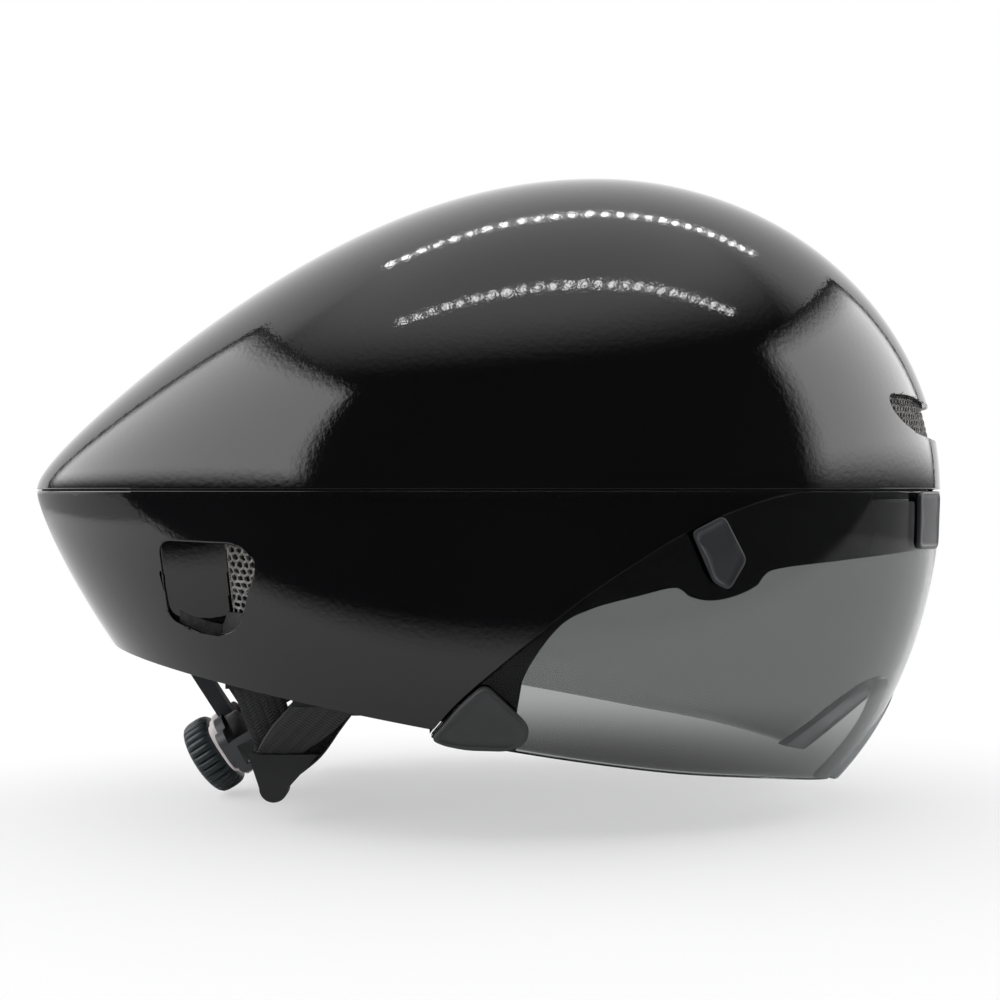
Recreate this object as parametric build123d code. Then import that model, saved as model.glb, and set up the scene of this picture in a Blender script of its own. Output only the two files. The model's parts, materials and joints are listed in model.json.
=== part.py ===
from build123d import *
import math
import os

# Aero time trial helmet: glossy two-part shell, foam liners, magnetic visor,
# rear fit dial and chin straps. X is the front, Y the wearer's left, Z up.
# The origin is on the floor, under the middle of the helmet.

# Sizes of the outer form
helmet_length = 308.5
helmet_width = 198.0
crown_height = 105.8
lower_depth = 146.8
seam_height = 104.5

# Shares that place the fullest section of each profile, of half the length
width_peak_share = 0.076
crown_peak_share = 0.245
depth_peak_share = 0.12

# Powers of the tail's taper in plan, over the crown and underneath
width_taper_share = 0.65
crown_taper_share = 0.68
crown_blunt_share = 0.58
depth_taper_share = 0.86
section_count = 28

# Walls and clearances
shell_wall = 2.0
lens_wall = 2.0
frame_wall = 0.8
bond_gap = 0.2
seat_wall = 2.5
seat_depth = 5.0
seat_setback = 5.0
visor_gap = 0.5
seam_gap = 0.35
overrun = 20.0

# Lower rim of the skirt: its height under the seam amidships and its slope
rim_drop = 72.8
rim_slope_share = 0.1727
liner_recess = 1.5

# Side view outlines as shares of half the length and of the lower depth
visor_line_shares = [
    (0.64, 0.0), (0.596, -0.006), (0.536, -0.02), (0.455, -0.049), (0.391, -0.078), (0.323, -0.117),
    (0.185, -0.213), (0.056, -0.324), (-0.043, -0.416), (-0.102, -0.488),
]
lens_hem_shares = [(-0.102, -0.494), (0.127, -0.536), (0.36, -0.576), (0.56, -0.605), (0.726, -0.638)]
mask_line_shares = [
    (0.064, -0.44), (0.078, -0.364), (0.139, -0.27), (0.2, -0.233), (0.288, -0.208), (0.36, -0.192),
    (0.387, -0.21), (0.43, -0.219), (0.478, -0.21), (0.522, -0.189), (0.552, -0.16), (0.692, -0.145),
    (0.855, -0.132),
]
seat_line_shares = [(0.05, -0.46), (0.075, -0.36), (0.14, -0.26), (0.3, -0.19), (0.46, -0.16), (0.7, -0.13)]
side_tab_shares = [(0.387, -0.082), (0.449, -0.049), (0.495, -0.138), (0.461, -0.198), (0.431, -0.183)]
front_tab_shares = [(0.884, -0.004), (0.955, -0.004), (0.955, -0.13), (0.884, -0.127)]
corner_grip_shares = [(-0.084, -0.498), (0.002, -0.379), (0.079, -0.465), (0.056, -0.506), (-0.012, -0.513)]
rear_vent_shares = [
    (-0.638, -0.104), (-0.503, -0.107), (-0.45, -0.122), (-0.43, -0.15), (-0.476, -0.282),
    (-0.523, -0.301), (-0.56, -0.292), (-0.624, -0.271),
]
front_vent_shares = [
    (0.815, 0.203), (0.875, 0.205), (0.928, 0.192), (1.0, 0.177), (1.0, 0.105), (0.935, 0.115),
    (0.889, 0.123), (0.85, 0.145), (0.823, 0.172),
]

# Room for the head: half sizes and centre
head_half_length = 97.0
head_half_width = 77.0
head_half_height = 95.0
head_centre_x = 9.5
head_centre_drop = 18.0

# Nose notch of the lens and its soft trim
nose_half_width = 37.0
nose_rise_drop = 65.5
nose_lean_share = 0.35
nose_trim_width = 3.0
nose_trim_proud = 0.5
nose_trim_depth = 6.0

# Tabs, grips and magnets
tab_proud = 1.2
grip_proud = 2.2
magnet_radius = 4.0
magnet_thickness = 1.6
tab_magnet_drop = 17.5
tab_magnet_x_share = 0.443
front_magnet_drop = 9.5
front_magnet_x_share = 0.92

# Vents
scoop_depth = 10.0
scoop_wall = 1.2
scoop_tail_share = 0.12
mesh_wall = 1.2
mesh_seat = 0.6
mesh_cell = 2.4
mesh_web = 0.5
mesh_columns = 2
mesh_rows = 5
front_plenum_depth = 9.0
front_duct_half_width = 30.0
front_duct_low = 17.5
front_duct_high = 26.5
rear_duct_high = 20.0
rear_duct_low = 37.0
rear_duct_rear_share = -0.515
rear_duct_front_share = -0.445

# Foam pads inside
pad_wall = 6.0
brow_pad_low = -15.0
brow_pad_high = 13.0
brow_pad_from_x = 62.0
crown_pad_half_width = 13.0
crown_pad_half_length = 52.0
crown_pad_offset = 40.0
side_pad_high = 3.0
side_pad_low = 24.0
side_pad_rear_x = -62.0
side_pad_front_x = -6.0
pad_round = 2.0

# Fit dial at the nape, sized square to the dial's tilted axis
dial_face_x = -97.9
dial_tilt = 33.0
knob_radius = 13.3
knob_thickness = 10.0
knob_edge = 0.9
knob_web = 2.5
grip_count = 24
grip_groove_radius = 0.9
knob_gap = 0.4
cap_radius = 9.0
cap_thickness = 1.2
housing_height = 23.0
housing_width = 38.0
housing_thickness = 7.6
housing_wall = 1.6
housing_corner = 7.0
plate_thickness = 3.0
plate_width = 86.0
plate_height = 13.0
pinion_radius = 4.0
pinion_teeth = 12
pinion_tooth = 0.8
pinion_length = 5.0
axle_radius = 1.5
axle_head_radius = 3.0
axle_head = 1.0
axle_clearance = 0.05
head_clearance = 0.1
pawl_wall = 0.7
pawl_radius = 9.0
pad_lobe_radius = 6.5
pad_lobe_spread = 29.0
pad_lobe_rise = 4.0
occipital_pad_thickness = 6.0
arm_width = 5.0
arm_thickness = 5.0
arm_spread = 19.0
pivot_rise = 40.0
pivot_radius = 1.5
pivot_boss_radius = 3.4
anchor_wall = 2.0
anchor_room = 1.0

# Guide loops at the ends of the dial's plate
loop_length = 14.5
loop_height = 11.0
loop_thickness = 4.0
loop_window_length = 8.5
loop_window_height = 6.5
loop_tilt = 30.0
loop_centre_x = -73.2
loop_centre_y = 42.5
loop_centre_drop = 82.0

# Fit bands and temple anchors
band_wall = 1.2
band_height = 6.0
band_inset = 2.0
band_points = [(-64.0, -73.2), (-56.5, -66.0), (-35.0, -50.0), (10.0, -32.0)]
anchor_plate_length = 18.0
anchor_plate_height = 13.0
anchor_plate_wall = 1.8
anchor_pin_radius = 2.0

# Chin straps
webbing_width = 15.0
webbing_wall = 1.4
strap_layer_gap = 0.8
front_strap_x = -48.0
front_strap_y = 68.0
rear_strap_x = -70.0
rear_strap_y = 57.5
strap_anchor_length = 19.0
strap_anchor_width = 5.0
strap_anchor_height = 8.0
strap_anchor_proud = 0.3
divider_x = -65.8
divider_y = 49.0
divider_low = 6.8
divider_nose_radius = 4.5
divider_height = 15.0
divider_top_width = 22.0
divider_lean = 3.0
divider_wall = 1.2
divider_room = 0.1
chin_strap_height = 12.0
chin_strap_neck = 8.0
chin_spread_share = 0.35

# Magnetic chin buckle
buckle_x = -49.0
buckle_half_length = 24.0
buckle_width = 18.0
buckle_low = 30.0
buckle_height = 6.4
buckle_corner = 2.0
buckle_joint_y = 3.0
tongue_reach = 16.0
tongue_wall = 3.0
buckle_clearance = 0.35
buckle_back_wall = 2.5
buckle_magnet_radius = 4.0
buckle_magnet_thickness = 1.4

half_length = helmet_length / 2
half_width = helmet_width / 2
seam = seam_height


def profile_share(x, peak, front, rear, taper, blunt=0):
    """Share of a profile's full size at x: an ellipse in front of its peak, a taper behind it."""
    if x >= peak:
        reach = (x - peak) / (front - peak)
        return math.sqrt(max(0, 1 - reach * reach))
    reach = (peak - x) / (peak - rear)
    return max(0, (1 - reach * reach) * (1 - blunt * reach * reach)) ** taper


def outer_form(inset=0):
    """The whole closed outer form, drawn in by an inset, as a loft through upright sections."""
    front = half_length - inset
    rear = inset - half_length
    sections = [Vertex(rear, 0, seam)]
    for index in range(1, section_count):
        x = -half_share(index) * (front - rear) / 2 + (front + rear) / 2
        width = (half_width - inset) * profile_share(
            x, width_peak_share * half_length, front, rear, width_taper_share)
        height = (crown_height - inset) * profile_share(
            x, crown_peak_share * half_length, front, rear, crown_taper_share, crown_blunt_share)
        depth = (lower_depth - inset) * profile_share(
            x, depth_peak_share * half_length, front, rear, depth_taper_share)
        plane = Plane(origin=(x, 0, seam), x_dir=(0, 1, 0), z_dir=(1, 0, 0))
        upper = EllipticalCenterArc((0, 0), width, height, start_angle=0, arc_size=180)
        lower = EllipticalCenterArc((0, 0), width, depth, start_angle=180, arc_size=180)
        sections.append(Wire([plane * upper, plane * lower]))
    sections.append(Vertex(front, 0, seam))
    return Solid.make_loft(sections, False)


def half_share(index):
    """Cosine spacing, so the sections crowd towards the nose and the tail."""
    return math.cos(math.pi * index / section_count)


def at_share(point):
    """A side view point from its shares of half the length and of the lower depth."""
    return (point[0] * half_length, seam + point[1] * lower_depth)


def side_face(edges):
    """A face in the side view from a closed run of edges drawn in X and Z."""
    plane = Plane(origin=(0, 0, 0), x_dir=(1, 0, 0), z_dir=(0, -1, 0))
    return plane * make_face(edges)


def side_slab(edges, near=-helmet_width, far=helmet_width):
    """A slab across the helmet, from a closed run of side view edges, between two places in Y."""
    face = Pos(0, near, 0) * side_face(edges)
    return extrude(face, far - near, dir=(0, 1, 0))


def block(x_from, x_to, y_from, y_to, z_from, z_to):
    """A box between two corners."""
    size = Box(abs(x_to - x_from), abs(y_to - y_from), abs(z_to - z_from))
    return Pos((x_from + x_to) / 2, (y_from + y_to) / 2, (z_from + z_to) / 2) * size


def above_seam():
    return block(-helmet_length, helmet_length, -helmet_width, helmet_width, seam, seam + helmet_length)


def below_seam(drop=0):
    return block(-helmet_length, helmet_length, -helmet_width, helmet_width, -helmet_length, seam - drop)


def rim_height(x, lift=0):
    """Height of the skirt's lower rim at x."""
    return seam - rim_drop - rim_slope_share * x + lift


def rear_region(lift=0):
    """Side view region of the skirt: behind the visor line, under the seam and over the rim."""
    line = [at_share(point) for point in visor_line_shares]
    curve = Spline(line)
    far_x = -half_length - overrun
    top = seam + overrun
    rest = Polyline([line[-1], (line[-1][0], rim_height(line[-1][0], lift)), (far_x, rim_height(far_x, lift)),
                     (far_x, top), (line[0][0], top), line[0]])
    return side_slab([curve, rest])


def visor_region(gap=0):
    """Side view region of the lens: before the visor line and over its lower hem."""
    line = [(x + gap, z) for x, z in map(at_share, visor_line_shares)]
    hem = [at_share(point) for point in lens_hem_shares]
    nose_x = half_length + overrun
    slope_share = (hem[-1][1] - hem[-2][1]) / (hem[-1][0] - hem[-2][0])
    hem = [(hem[0][0] + gap, hem[0][1])] + hem[1:]
    curve = Spline(line)
    hem_curve = Spline(hem)
    closing = Polyline([hem[-1], (nose_x, hem[-1][1] + slope_share * (nose_x - hem[-1][0])),
                        (nose_x, seam + overrun), (line[0][0], seam + overrun), line[0]])
    return side_slab([curve, Line(line[-1], hem[0]), hem_curve, closing])


def under_line_region(line_shares, gap=0):
    """Side view region between the visor line and a second line further forward and lower."""
    line = [(x + gap, z) for x, z in map(at_share, visor_line_shares)]
    lower = [at_share(point) for point in line_shares]
    nose_x = half_length + overrun
    hem_z = at_share(lens_hem_shares[1])[1]
    curve = Spline(line)
    lower_curve = Spline(lower)
    closing = Polyline([lower[-1], (nose_x, lower[-1][1]), (nose_x, seam + overrun),
                        (line[0][0], seam + overrun), line[0]])
    foot = Polyline([line[-1], (line[-1][0], hem_z), (lower[0][0], hem_z), lower[0]])
    return side_slab([curve, foot, lower_curve, closing])


def head_room(inset=0):
    """Room for the head: half an ellipsoid over an upright oval column."""
    length = head_half_length - inset
    width = head_half_width - inset
    height = head_half_height - inset
    level = seam - head_centre_drop
    dome = Pos(head_centre_x, 0, level) * scale(Sphere(1), by=(length, width, height))
    column = extrude(Pos(head_centre_x, 0, level) * Ellipse(length, width), -lower_depth)
    return dome + column


def half_space(side):
    """The helmet's right half for side -1, its left half for side 1."""
    reach = helmet_width * side
    return block(-helmet_length, helmet_length, 0, reach, -helmet_length, helmet_length)


def share_slab(shares):
    """A slab across the helmet with a polygon of side view shares as its outline."""
    points = [at_share(point) for point in shares]
    return side_slab([Polyline(points + [points[0]])])


def skin(outer, inner):
    """The layer between two insets of the outer form."""
    return outer_form(outer) - outer_form(inner)


def nose_arch(shrink=0):
    """Arch of the nose notch, seen from the front and run through from front to back."""
    half = nose_half_width - shrink
    top = seam - nose_rise_drop - shrink
    foot = seam - lower_depth
    knee = (top - foot) / 2
    plane = Plane(origin=(half_length - helmet_length / 4, 0, 0), x_dir=(0, 1, 0), z_dir=(1, 0, 0))
    arch = Spline((-half, foot + knee), (0, top), (half, foot + knee),
                  tangents=[(nose_lean_share, 1), (nose_lean_share, -1)], tangent_scalars=[1, 1])
    feet = Polyline([(half, foot + knee), (half, foot), (-half, foot), (-half, foot + knee)])
    return extrude(plane * make_face([arch, feet]), helmet_length)


def plan_outward(x, y):
    """Outward direction in plan on the oval nose half of the form."""
    peak = width_peak_share * half_length
    return Vector((x - peak) / (half_length - peak) ** 2, y / half_width ** 2, 0).normalized()


def surface_y(x, drop):
    """Half width of the outer form at x and at a drop under the seam."""
    width = half_width * profile_share(
        x, width_peak_share * half_length, half_length, -half_length, width_taper_share)
    depth = lower_depth * profile_share(
        x, depth_peak_share * half_length, half_length, -half_length, depth_taper_share)
    return width * math.sqrt(1 - (drop / depth) ** 2)


def magnet_places():
    """Place and outward direction of the four magnet pairs."""
    places = []
    for share, drop in [(tab_magnet_x_share, tab_magnet_drop), (front_magnet_x_share, front_magnet_drop)]:
        x = share * half_length
        for side in [-1, 1]:
            y = side * surface_y(x, drop)
            places.append((Vector(x, y, seam - drop), plan_outward(x, y)))
    return places


def magnet_rod(place, outward, radius, outer, inner):
    """A round rod along a magnet's axis, between two depths under the outer form."""
    middle = place - outward * ((outer + inner) / 2)
    plane = Plane(origin=middle, z_dir=outward)
    return plane * Cylinder(radius, inner - outer)


# Shell and liners

def crown_shell():
    solid = skin(0, shell_wall) & above_seam()
    return solid - share_slab(front_vent_shares)


def skirt_shell():
    solid = skin(0, shell_wall) & below_seam() & rear_region()
    return solid - share_slab(rear_vent_shares)


def front_duct():
    """Air duct from the front vent through the foam to the head."""
    reach = block(head_centre_x, half_length, -front_duct_half_width, front_duct_half_width,
                  seam + front_duct_low, seam + front_duct_high)
    plenum = share_slab(front_vent_shares) - outer_form(front_plenum_depth)
    return reach + plenum


def crown_liner():
    return (outer_form(shell_wall) & above_seam()) - head_room() - front_duct()


def rear_duct(side):
    """Air duct from the head to the rear side vent."""
    return block(rear_duct_rear_share * half_length, rear_duct_front_share * half_length, 0,
                 side * helmet_width, seam - rear_duct_low, seam - rear_duct_high)


def scoop_plan():
    """Plan points of the rear vent: tail lip, deepest corner and front lip."""
    drop = (rear_duct_high + rear_duct_low) / 2
    tail_x = rear_vent_shares[0][0] * half_length - overrun / 2
    deep_x = rear_duct_rear_share * half_length
    lip_x = rear_vent_shares[3][0] * half_length + scoop_wall
    lip_y = surface_y(tail_x + overrun / 2, drop)
    return [(tail_x, lip_y - overrun / 2 * scoop_tail_share), (deep_x, surface_y(deep_x, drop) - scoop_depth),
            (lip_x, surface_y(lip_x, drop))]


def scoop_outside(side, sink=0):
    """Everything outboard of the rear vent's plan line, sunk deeper by a wall."""
    tail, deep, lip = scoop_plan()
    points = [(tail[0], tail[1] - sink), (deep[0], deep[1] - sink), (lip[0] + sink, lip[1] - sink),
              (lip[0] + sink, helmet_width), (tail[0], helmet_width)]
    outline = make_face(Polyline([(x, side * y) for x, y in points + [points[0]]]))
    return extrude(outline, helmet_length, dir=(0, 0, 1))


def vent_slab(inset=0):
    """The rear vent's outline drawn in and run through across the helmet."""
    points = [at_share(point) for point in rear_vent_shares]
    face = side_face(Polyline(points + [points[0]]))
    if inset:
        face = offset(face, -inset)
    return extrude(Pos(0, -helmet_width, 0) * face, helmet_width * 2, dir=(0, 1, 0))


def scoop_pocket(side):
    """The recess of the rear vent in shell and foam."""
    return vent_slab() & scoop_outside(side, scoop_wall)


def vent_scoop(side):
    """Moulded pocket of the rear vent: ramp floor and walls, open at the mesh."""
    deep = scoop_plan()[1]
    pocket = scoop_pocket(side) & outer_form()
    inside = vent_slab(scoop_wall) & scoop_outside(side)
    mesh_hole = vent_slab(scoop_wall) & block(deep[0], half_length, 0, side * helmet_width, 0, seam)
    return pocket - inside - mesh_hole


def mesh_plane(side):
    """Plane of the rear vent's mesh, in the middle of its strip."""
    deep, lip = scoop_plan()[1:]
    run = Vector(lip[0] - deep[0], side * (lip[1] - deep[1]), 0)
    middle = Vector((lip[0] + deep[0]) / 2, side * (lip[1] + deep[1]) / 2,
                    seam - (rear_duct_high + rear_duct_low) / 2)
    outward = Vector(0, 0, 1).cross(run) * side
    return Plane(origin=middle, x_dir=run.normalized(), z_dir=outward.normalized())


def cell_holes(columns, rows, depth):
    """Staggered six-sided cells of a vent mesh, about the plane's origin."""
    pitch = mesh_cell + mesh_web
    holes = []
    for row in range(-rows, rows + 1):
        shift = pitch / 2 * (row % 2)
        for column in range(-columns, columns + 1):
            cell = RegularPolygon(mesh_cell / 2, 6, major_radius=False)
            place = Pos(column * pitch + shift, row * pitch * math.cos(math.pi / 6), -depth / 2)
            holes.append(place * extrude(cell, depth))
    return holes


def rear_vent_mesh(side):
    """Flat mesh strip set across the deep end of the rear vent."""
    deep, lip = scoop_plan()[1:]
    plane = mesh_plane(side)
    length = math.dist(deep, lip)
    plate = plane * Box(length, seam, mesh_wall)
    plate = plate & vent_slab(scoop_wall) & outer_form(mesh_seat)
    plate = plate & block(deep[0] + mesh_seat, half_length, 0, side * helmet_width, 0, seam)
    holes = [plane * hole for hole in cell_holes(mesh_columns, mesh_rows, mesh_wall * 3)]
    return plate - holes


def front_vent_mesh():
    """Curved mesh behind the front vent's slot."""
    layer = skin(shell_wall + mesh_seat, shell_wall + mesh_seat + mesh_wall)
    return layer & share_slab(front_vent_shares)


def lower_liner():
    """Foam ring around the head under the seam, with the brow and the nape block."""
    behind = outer_form(shell_wall) & rear_region(liner_recess)
    ahead = outer_form(seat_depth + seat_wall) & under_line_region(seat_line_shares)
    low_cut = block(-helmet_length, helmet_length, -helmet_width, helmet_width, -helmet_length,
                    rim_height(lens_hem_shares[0][0] * half_length, liner_recess))
    solid = (behind + (ahead - low_cut)) & below_seam()
    solid = solid - head_room()
    for side in [-1, 1]:
        solid = solid - scoop_pocket(side) - rear_duct(side)
    for place, outward in magnet_places():
        solid = solid - magnet_rod(place, outward, magnet_radius, 0, seat_depth + seat_wall)
    solid = solid - anchor_pocket() - anchor_pin(-1) - anchor_pin(1)
    return solid - strap_anchor_list()


# Visor and what rides on it

def visor_lens():
    solid = skin(0, lens_wall) & below_seam(seam_gap) & visor_region(visor_gap)
    return solid - nose_arch()


def visor_frame():
    solid = skin(lens_wall + bond_gap, frame_depth()) & below_seam(seam_gap)
    return solid & under_line_region(mask_line_shares, visor_gap * 2)


def frame_depth():
    """Depth of the frame's inner face, where the magnets sit."""
    return lens_wall + bond_gap + frame_wall


def visor_seat():
    solid = skin(seat_depth, seat_depth + seat_wall) & below_seam() & under_line_region(seat_line_shares)
    solid = solid - block(-helmet_length, lens_hem_shares[0][0] * half_length + seat_setback,
                          -helmet_width, helmet_width, 0, seam)
    solid = solid - block(-helmet_length, helmet_length, -helmet_width, helmet_width, 0,
                          rim_height(lens_hem_shares[0][0] * half_length, liner_recess))
    for place, outward in magnet_places():
        solid = solid - magnet_rod(place, outward, magnet_radius, 0, seat_depth + seat_wall * 2)
    return solid


def seat_magnets():
    magnets = []
    for place, outward in magnet_places():
        rod = magnet_rod(place, outward, magnet_radius, 0, seat_depth + seat_wall)
        magnets.append(rod & outer_form(seat_depth))
    return Compound(magnets)


def visor_magnets():
    magnets = []
    for place, outward in magnet_places():
        inner = frame_depth() + magnet_thickness
        rod = magnet_rod(place, outward, magnet_radius, 0, inner)
        magnets.append(rod & skin(frame_depth(), inner))
    return Compound(magnets)


def proud_patch(shares, proud, side):
    """A patch that stands proud of the lens over a side view outline, on one side."""
    return skin(-proud, 0) & share_slab(shares) & half_space(side)


def nose_trim():
    ring = nose_arch() - nose_arch(nose_trim_width)
    return skin(-nose_trim_proud, nose_trim_depth) & ring & visor_region(visor_gap)


# Pads

def pad_layer():
    return head_room() - head_room(pad_wall)


def brow_pad():
    return pad_layer() & block(brow_pad_from_x, half_length, -half_width, half_width,
                               seam + brow_pad_low, seam + brow_pad_high)


def crown_pad(offset_y):
    return pad_layer() & block(head_centre_x - crown_pad_half_length, head_centre_x + crown_pad_half_length,
                               offset_y - crown_pad_half_width, offset_y + crown_pad_half_width,
                               seam + front_duct_high, seam + crown_height)


def side_pad(side):
    return pad_layer() & block(side_pad_rear_x, side_pad_front_x, 0, side * half_width,
                               seam - side_pad_low, seam - side_pad_high)


# Fit dial and cradle

def dial_axis():
    """Direction out of the dial's face, back and down."""
    return Vector(-math.cos(math.radians(dial_tilt)), 0, -math.sin(math.radians(dial_tilt)))


def dial_plane(depth=0):
    """Plane square to the dial's axis, a depth in from the face; the rim's low edge stands at zero."""
    lean = math.radians(dial_tilt)
    face_z = (knob_radius - knob_edge) * math.cos(lean) + knob_edge * (1 - math.sin(lean))
    origin = Vector(dial_face_x, 0, face_z) - dial_axis() * depth
    return Plane(origin=origin, x_dir=(0, 1, 0), z_dir=-dial_axis())


def plate_depth():
    return knob_thickness + knob_gap + housing_thickness


def dial_knob():
    """Ribbed knob with a bore for its axle and a recess for its cap."""
    disc = extrude(Circle(knob_radius), knob_thickness)
    disc = fillet(disc.faces().sort_by(Axis.Z)[0].edges(), knob_edge)
    groove = Pos(knob_radius, 0, 0) * Cylinder(grip_groove_radius, knob_thickness * 3)
    grooves = [Rot(0, 0, 360 * (index + 1 / 2) / grip_count) * groove for index in range(grip_count)]
    disc = disc - grooves
    disc = disc - extrude(Circle(cap_radius), cap_thickness)
    hollow = Circle(knob_radius - knob_web) - Circle(axle_head_radius + knob_web)
    disc = disc - Pos(0, 0, cap_thickness + knob_web) * extrude(hollow, knob_thickness)
    recess = extrude(Circle(axle_head_radius + axle_clearance), axle_head + head_clearance * 2)
    disc = disc - Pos(0, 0, cap_thickness) * recess
    disc = disc - extrude(Circle(axle_radius + axle_clearance), knob_thickness)
    return dial_plane() * disc


def knob_cap():
    return dial_plane() * extrude(Circle(cap_radius), cap_thickness)


def pinion():
    """Toothed wheel under the knob that draws the two bands in."""
    wheel = Circle(pinion_radius)
    tooth = Pos(pinion_radius, 0) * Rectangle(pinion_tooth * 2, pinion_tooth)
    for index in range(pinion_teeth):
        wheel = wheel + Rot(0, 0, 360 * index / pinion_teeth) * tooth
    wheel = wheel - Circle(axle_radius + axle_clearance)
    return dial_plane(knob_thickness) * extrude(wheel, pinion_length)


def dial_axle():
    """Shouldered axle screw from the knob's recess into the cradle plate."""
    start = cap_thickness + head_clearance
    head = dial_plane(start) * extrude(Circle(axle_head_radius), axle_head)
    return head + dial_plane(start) * extrude(Circle(axle_radius), plate_depth() + plate_thickness - start)


def dial_housing():
    """Light housing behind the knob, hollow for the pinion and the spring."""
    depth = knob_thickness + knob_gap
    outer = dial_plane(depth) * extrude(
        RectangleRounded(housing_width, housing_height, housing_corner), housing_thickness)
    room = dial_plane(depth + housing_wall) * extrude(
        RectangleRounded(housing_width - housing_wall * 2, housing_height - housing_wall * 2,
                         housing_corner - housing_wall), housing_thickness)
    mouth = dial_plane() * extrude(Circle(pinion_radius + pinion_tooth + knob_gap), depth + housing_wall * 2)
    return outer - room - mouth


def pawl_spring():
    """Springy pawl ring round the pinion."""
    depth = knob_thickness + knob_gap + housing_wall
    ring = Circle(pawl_radius) - Circle(pawl_radius - pawl_wall)
    gap = Pos(0, pawl_radius) * Rectangle(pawl_radius, pawl_radius)
    return dial_plane(depth) * extrude(ring - gap, housing_thickness - housing_wall)


def cradle_plate():
    """Dark plate behind the housing: pad lobes above, and a guide loop for each band at its ends."""
    outline = RectangleRounded(plate_width, plate_height, plate_height / 3)
    for side in [-1, 1]:
        lobe = Pos(side * pad_lobe_spread, pad_lobe_rise) * Circle(pad_lobe_radius)
        neck = Pos(side * pad_lobe_spread, pad_lobe_rise / 2) * Rectangle(pad_lobe_radius, pad_lobe_rise)
        outline = outline + lobe + neck
    outline = outline - Circle(axle_radius)
    solid = dial_plane(plate_depth()) * extrude(outline, plate_thickness)
    for side in [-1, 1]:
        solid = solid + guide_loop(side)
    for side in [-1, 1]:
        window = loop_frame(side) * Box(loop_window_length, loop_thickness * 4, loop_window_height)
        solid = solid - window
    return solid


def loop_frame(side):
    place = Pos(loop_centre_x, side * loop_centre_y, seam - loop_centre_drop)
    return place * Rot(0, -loop_tilt, 0)


def guide_loop(side):
    """Rounded block that one band passes behind."""
    frame = Plane.XZ * RectangleRounded(loop_length, loop_height, loop_height / 5)
    return loop_frame(side) * (Pos(0, loop_thickness / 2, 0) * extrude(frame, loop_thickness))


def hanger_arm(side):
    """Arm from the nape pivot down to the top edge of the cradle plate."""
    low = plate_height / 2
    bar = Pos(side * arm_spread, (low + pivot_rise) / 2) * Rectangle(arm_width, pivot_rise - low)
    boss = pivot_frame(side) * Cylinder(pivot_boss_radius, arm_width)
    bore = pivot_frame(side) * Cylinder(pivot_radius + axle_clearance, arm_width * 2)
    arm = dial_plane(plate_depth()) * extrude(bar, arm_thickness)
    return arm + boss - bore


def pivot_point():
    return dial_plane(plate_depth() + arm_thickness / 2).from_local_coords(Vector(0, pivot_rise, 0))


def pivot_frame(side=0):
    """Place on the nape pivot's axis, with Z along it."""
    pivot = pivot_point()
    return Pos(pivot.X, side * arm_spread, pivot.Z) * Rot(90, 0, 0)


def anchor_half_width():
    return arm_spread + arm_width / 2 + anchor_room + anchor_wall


def pivot_pin():
    return pivot_frame() * Cylinder(pivot_radius, anchor_half_width() * 2)


def anchor_reach():
    return pivot_boss_radius + anchor_room + anchor_wall


def anchor_pocket():
    """Recess in the nape block for the hanger anchor, open to the head and below."""
    half = anchor_half_width()
    pivot = pivot_point()
    front_x = head_centre_x - head_half_length + overrun
    return block(pivot.X - anchor_reach(), front_x, -half, half, 0, pivot.Z + anchor_reach())


def hanger_anchor():
    """Channel in the nape block that carries the pivot pin."""
    half = anchor_half_width()
    pivot = pivot_point()
    rear_x = pivot.X - anchor_reach()
    front_x = pivot.X + anchor_reach()
    top = pivot.Z + anchor_reach()
    outer = block(rear_x, front_x, -half, half, pivot.Z - pivot_boss_radius, top)
    inner = block(rear_x + anchor_wall, front_x, anchor_wall - half, half - anchor_wall, 0,
                  top - anchor_wall)
    return outer - inner - pivot_pin()


def occipital_pad(side):
    """Round soft pad on a lobe of the cradle plate."""
    place = dial_plane(plate_depth() + plate_thickness) * Pos(side * pad_lobe_spread, pad_lobe_rise)
    disc = extrude(Circle(pad_lobe_radius), occipital_pad_thickness)
    return place * fillet(disc.faces().sort_by(Axis.Z)[-1].edges(), pad_round)


# Fit bands

def band_layer(inset, wall):
    """Upright oval layer just inside the room for the head."""
    outer = Ellipse(head_half_length - inset, head_half_width - inset)
    inner = Ellipse(head_half_length - inset - wall, head_half_width - inset - wall)
    return extrude(Pos(head_centre_x, 0, 0) * (outer - inner), helmet_length)


def band_slab():
    """Side view strip that the band follows from the dial to the temple."""
    low = [(x, seam + z - band_height / 2) for x, z in band_points]
    high = [(x, seam + z + band_height / 2) for x, z in band_points]
    return side_slab([Spline(low), Line(low[-1], high[-1]), Spline(high[::-1]), Line(high[0], low[0])])


def fit_band(side):
    return band_layer(band_inset, band_wall) & band_slab() & half_space(side)


def temple_anchor(side):
    """Small plate on the foam at the temple, with a pin that holds the band's end."""
    x, z = band_points[-1]
    slab = block(x - anchor_plate_length / 2, x + anchor_plate_length / 2, -half_width, half_width,
                 seam + z - anchor_plate_height / 2, seam + z + anchor_plate_height / 2)
    plate = band_layer(0, anchor_plate_wall) & slab & half_space(side)
    return plate + anchor_pin(side)


def anchor_pin(side):
    """Pin of the temple anchor, from inside the band into the foam."""
    x, z = band_points[-1]
    inner = head_half_width - band_inset - band_wall * 2
    outer = head_half_width + anchor_plate_wall * 3
    place = Pos(x - anchor_plate_length / 4, side * (inner + outer) / 2, seam + z)
    return place * (Rot(90, 0, 0) * Cylinder(anchor_pin_radius, outer - inner))


# Chin straps

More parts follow.
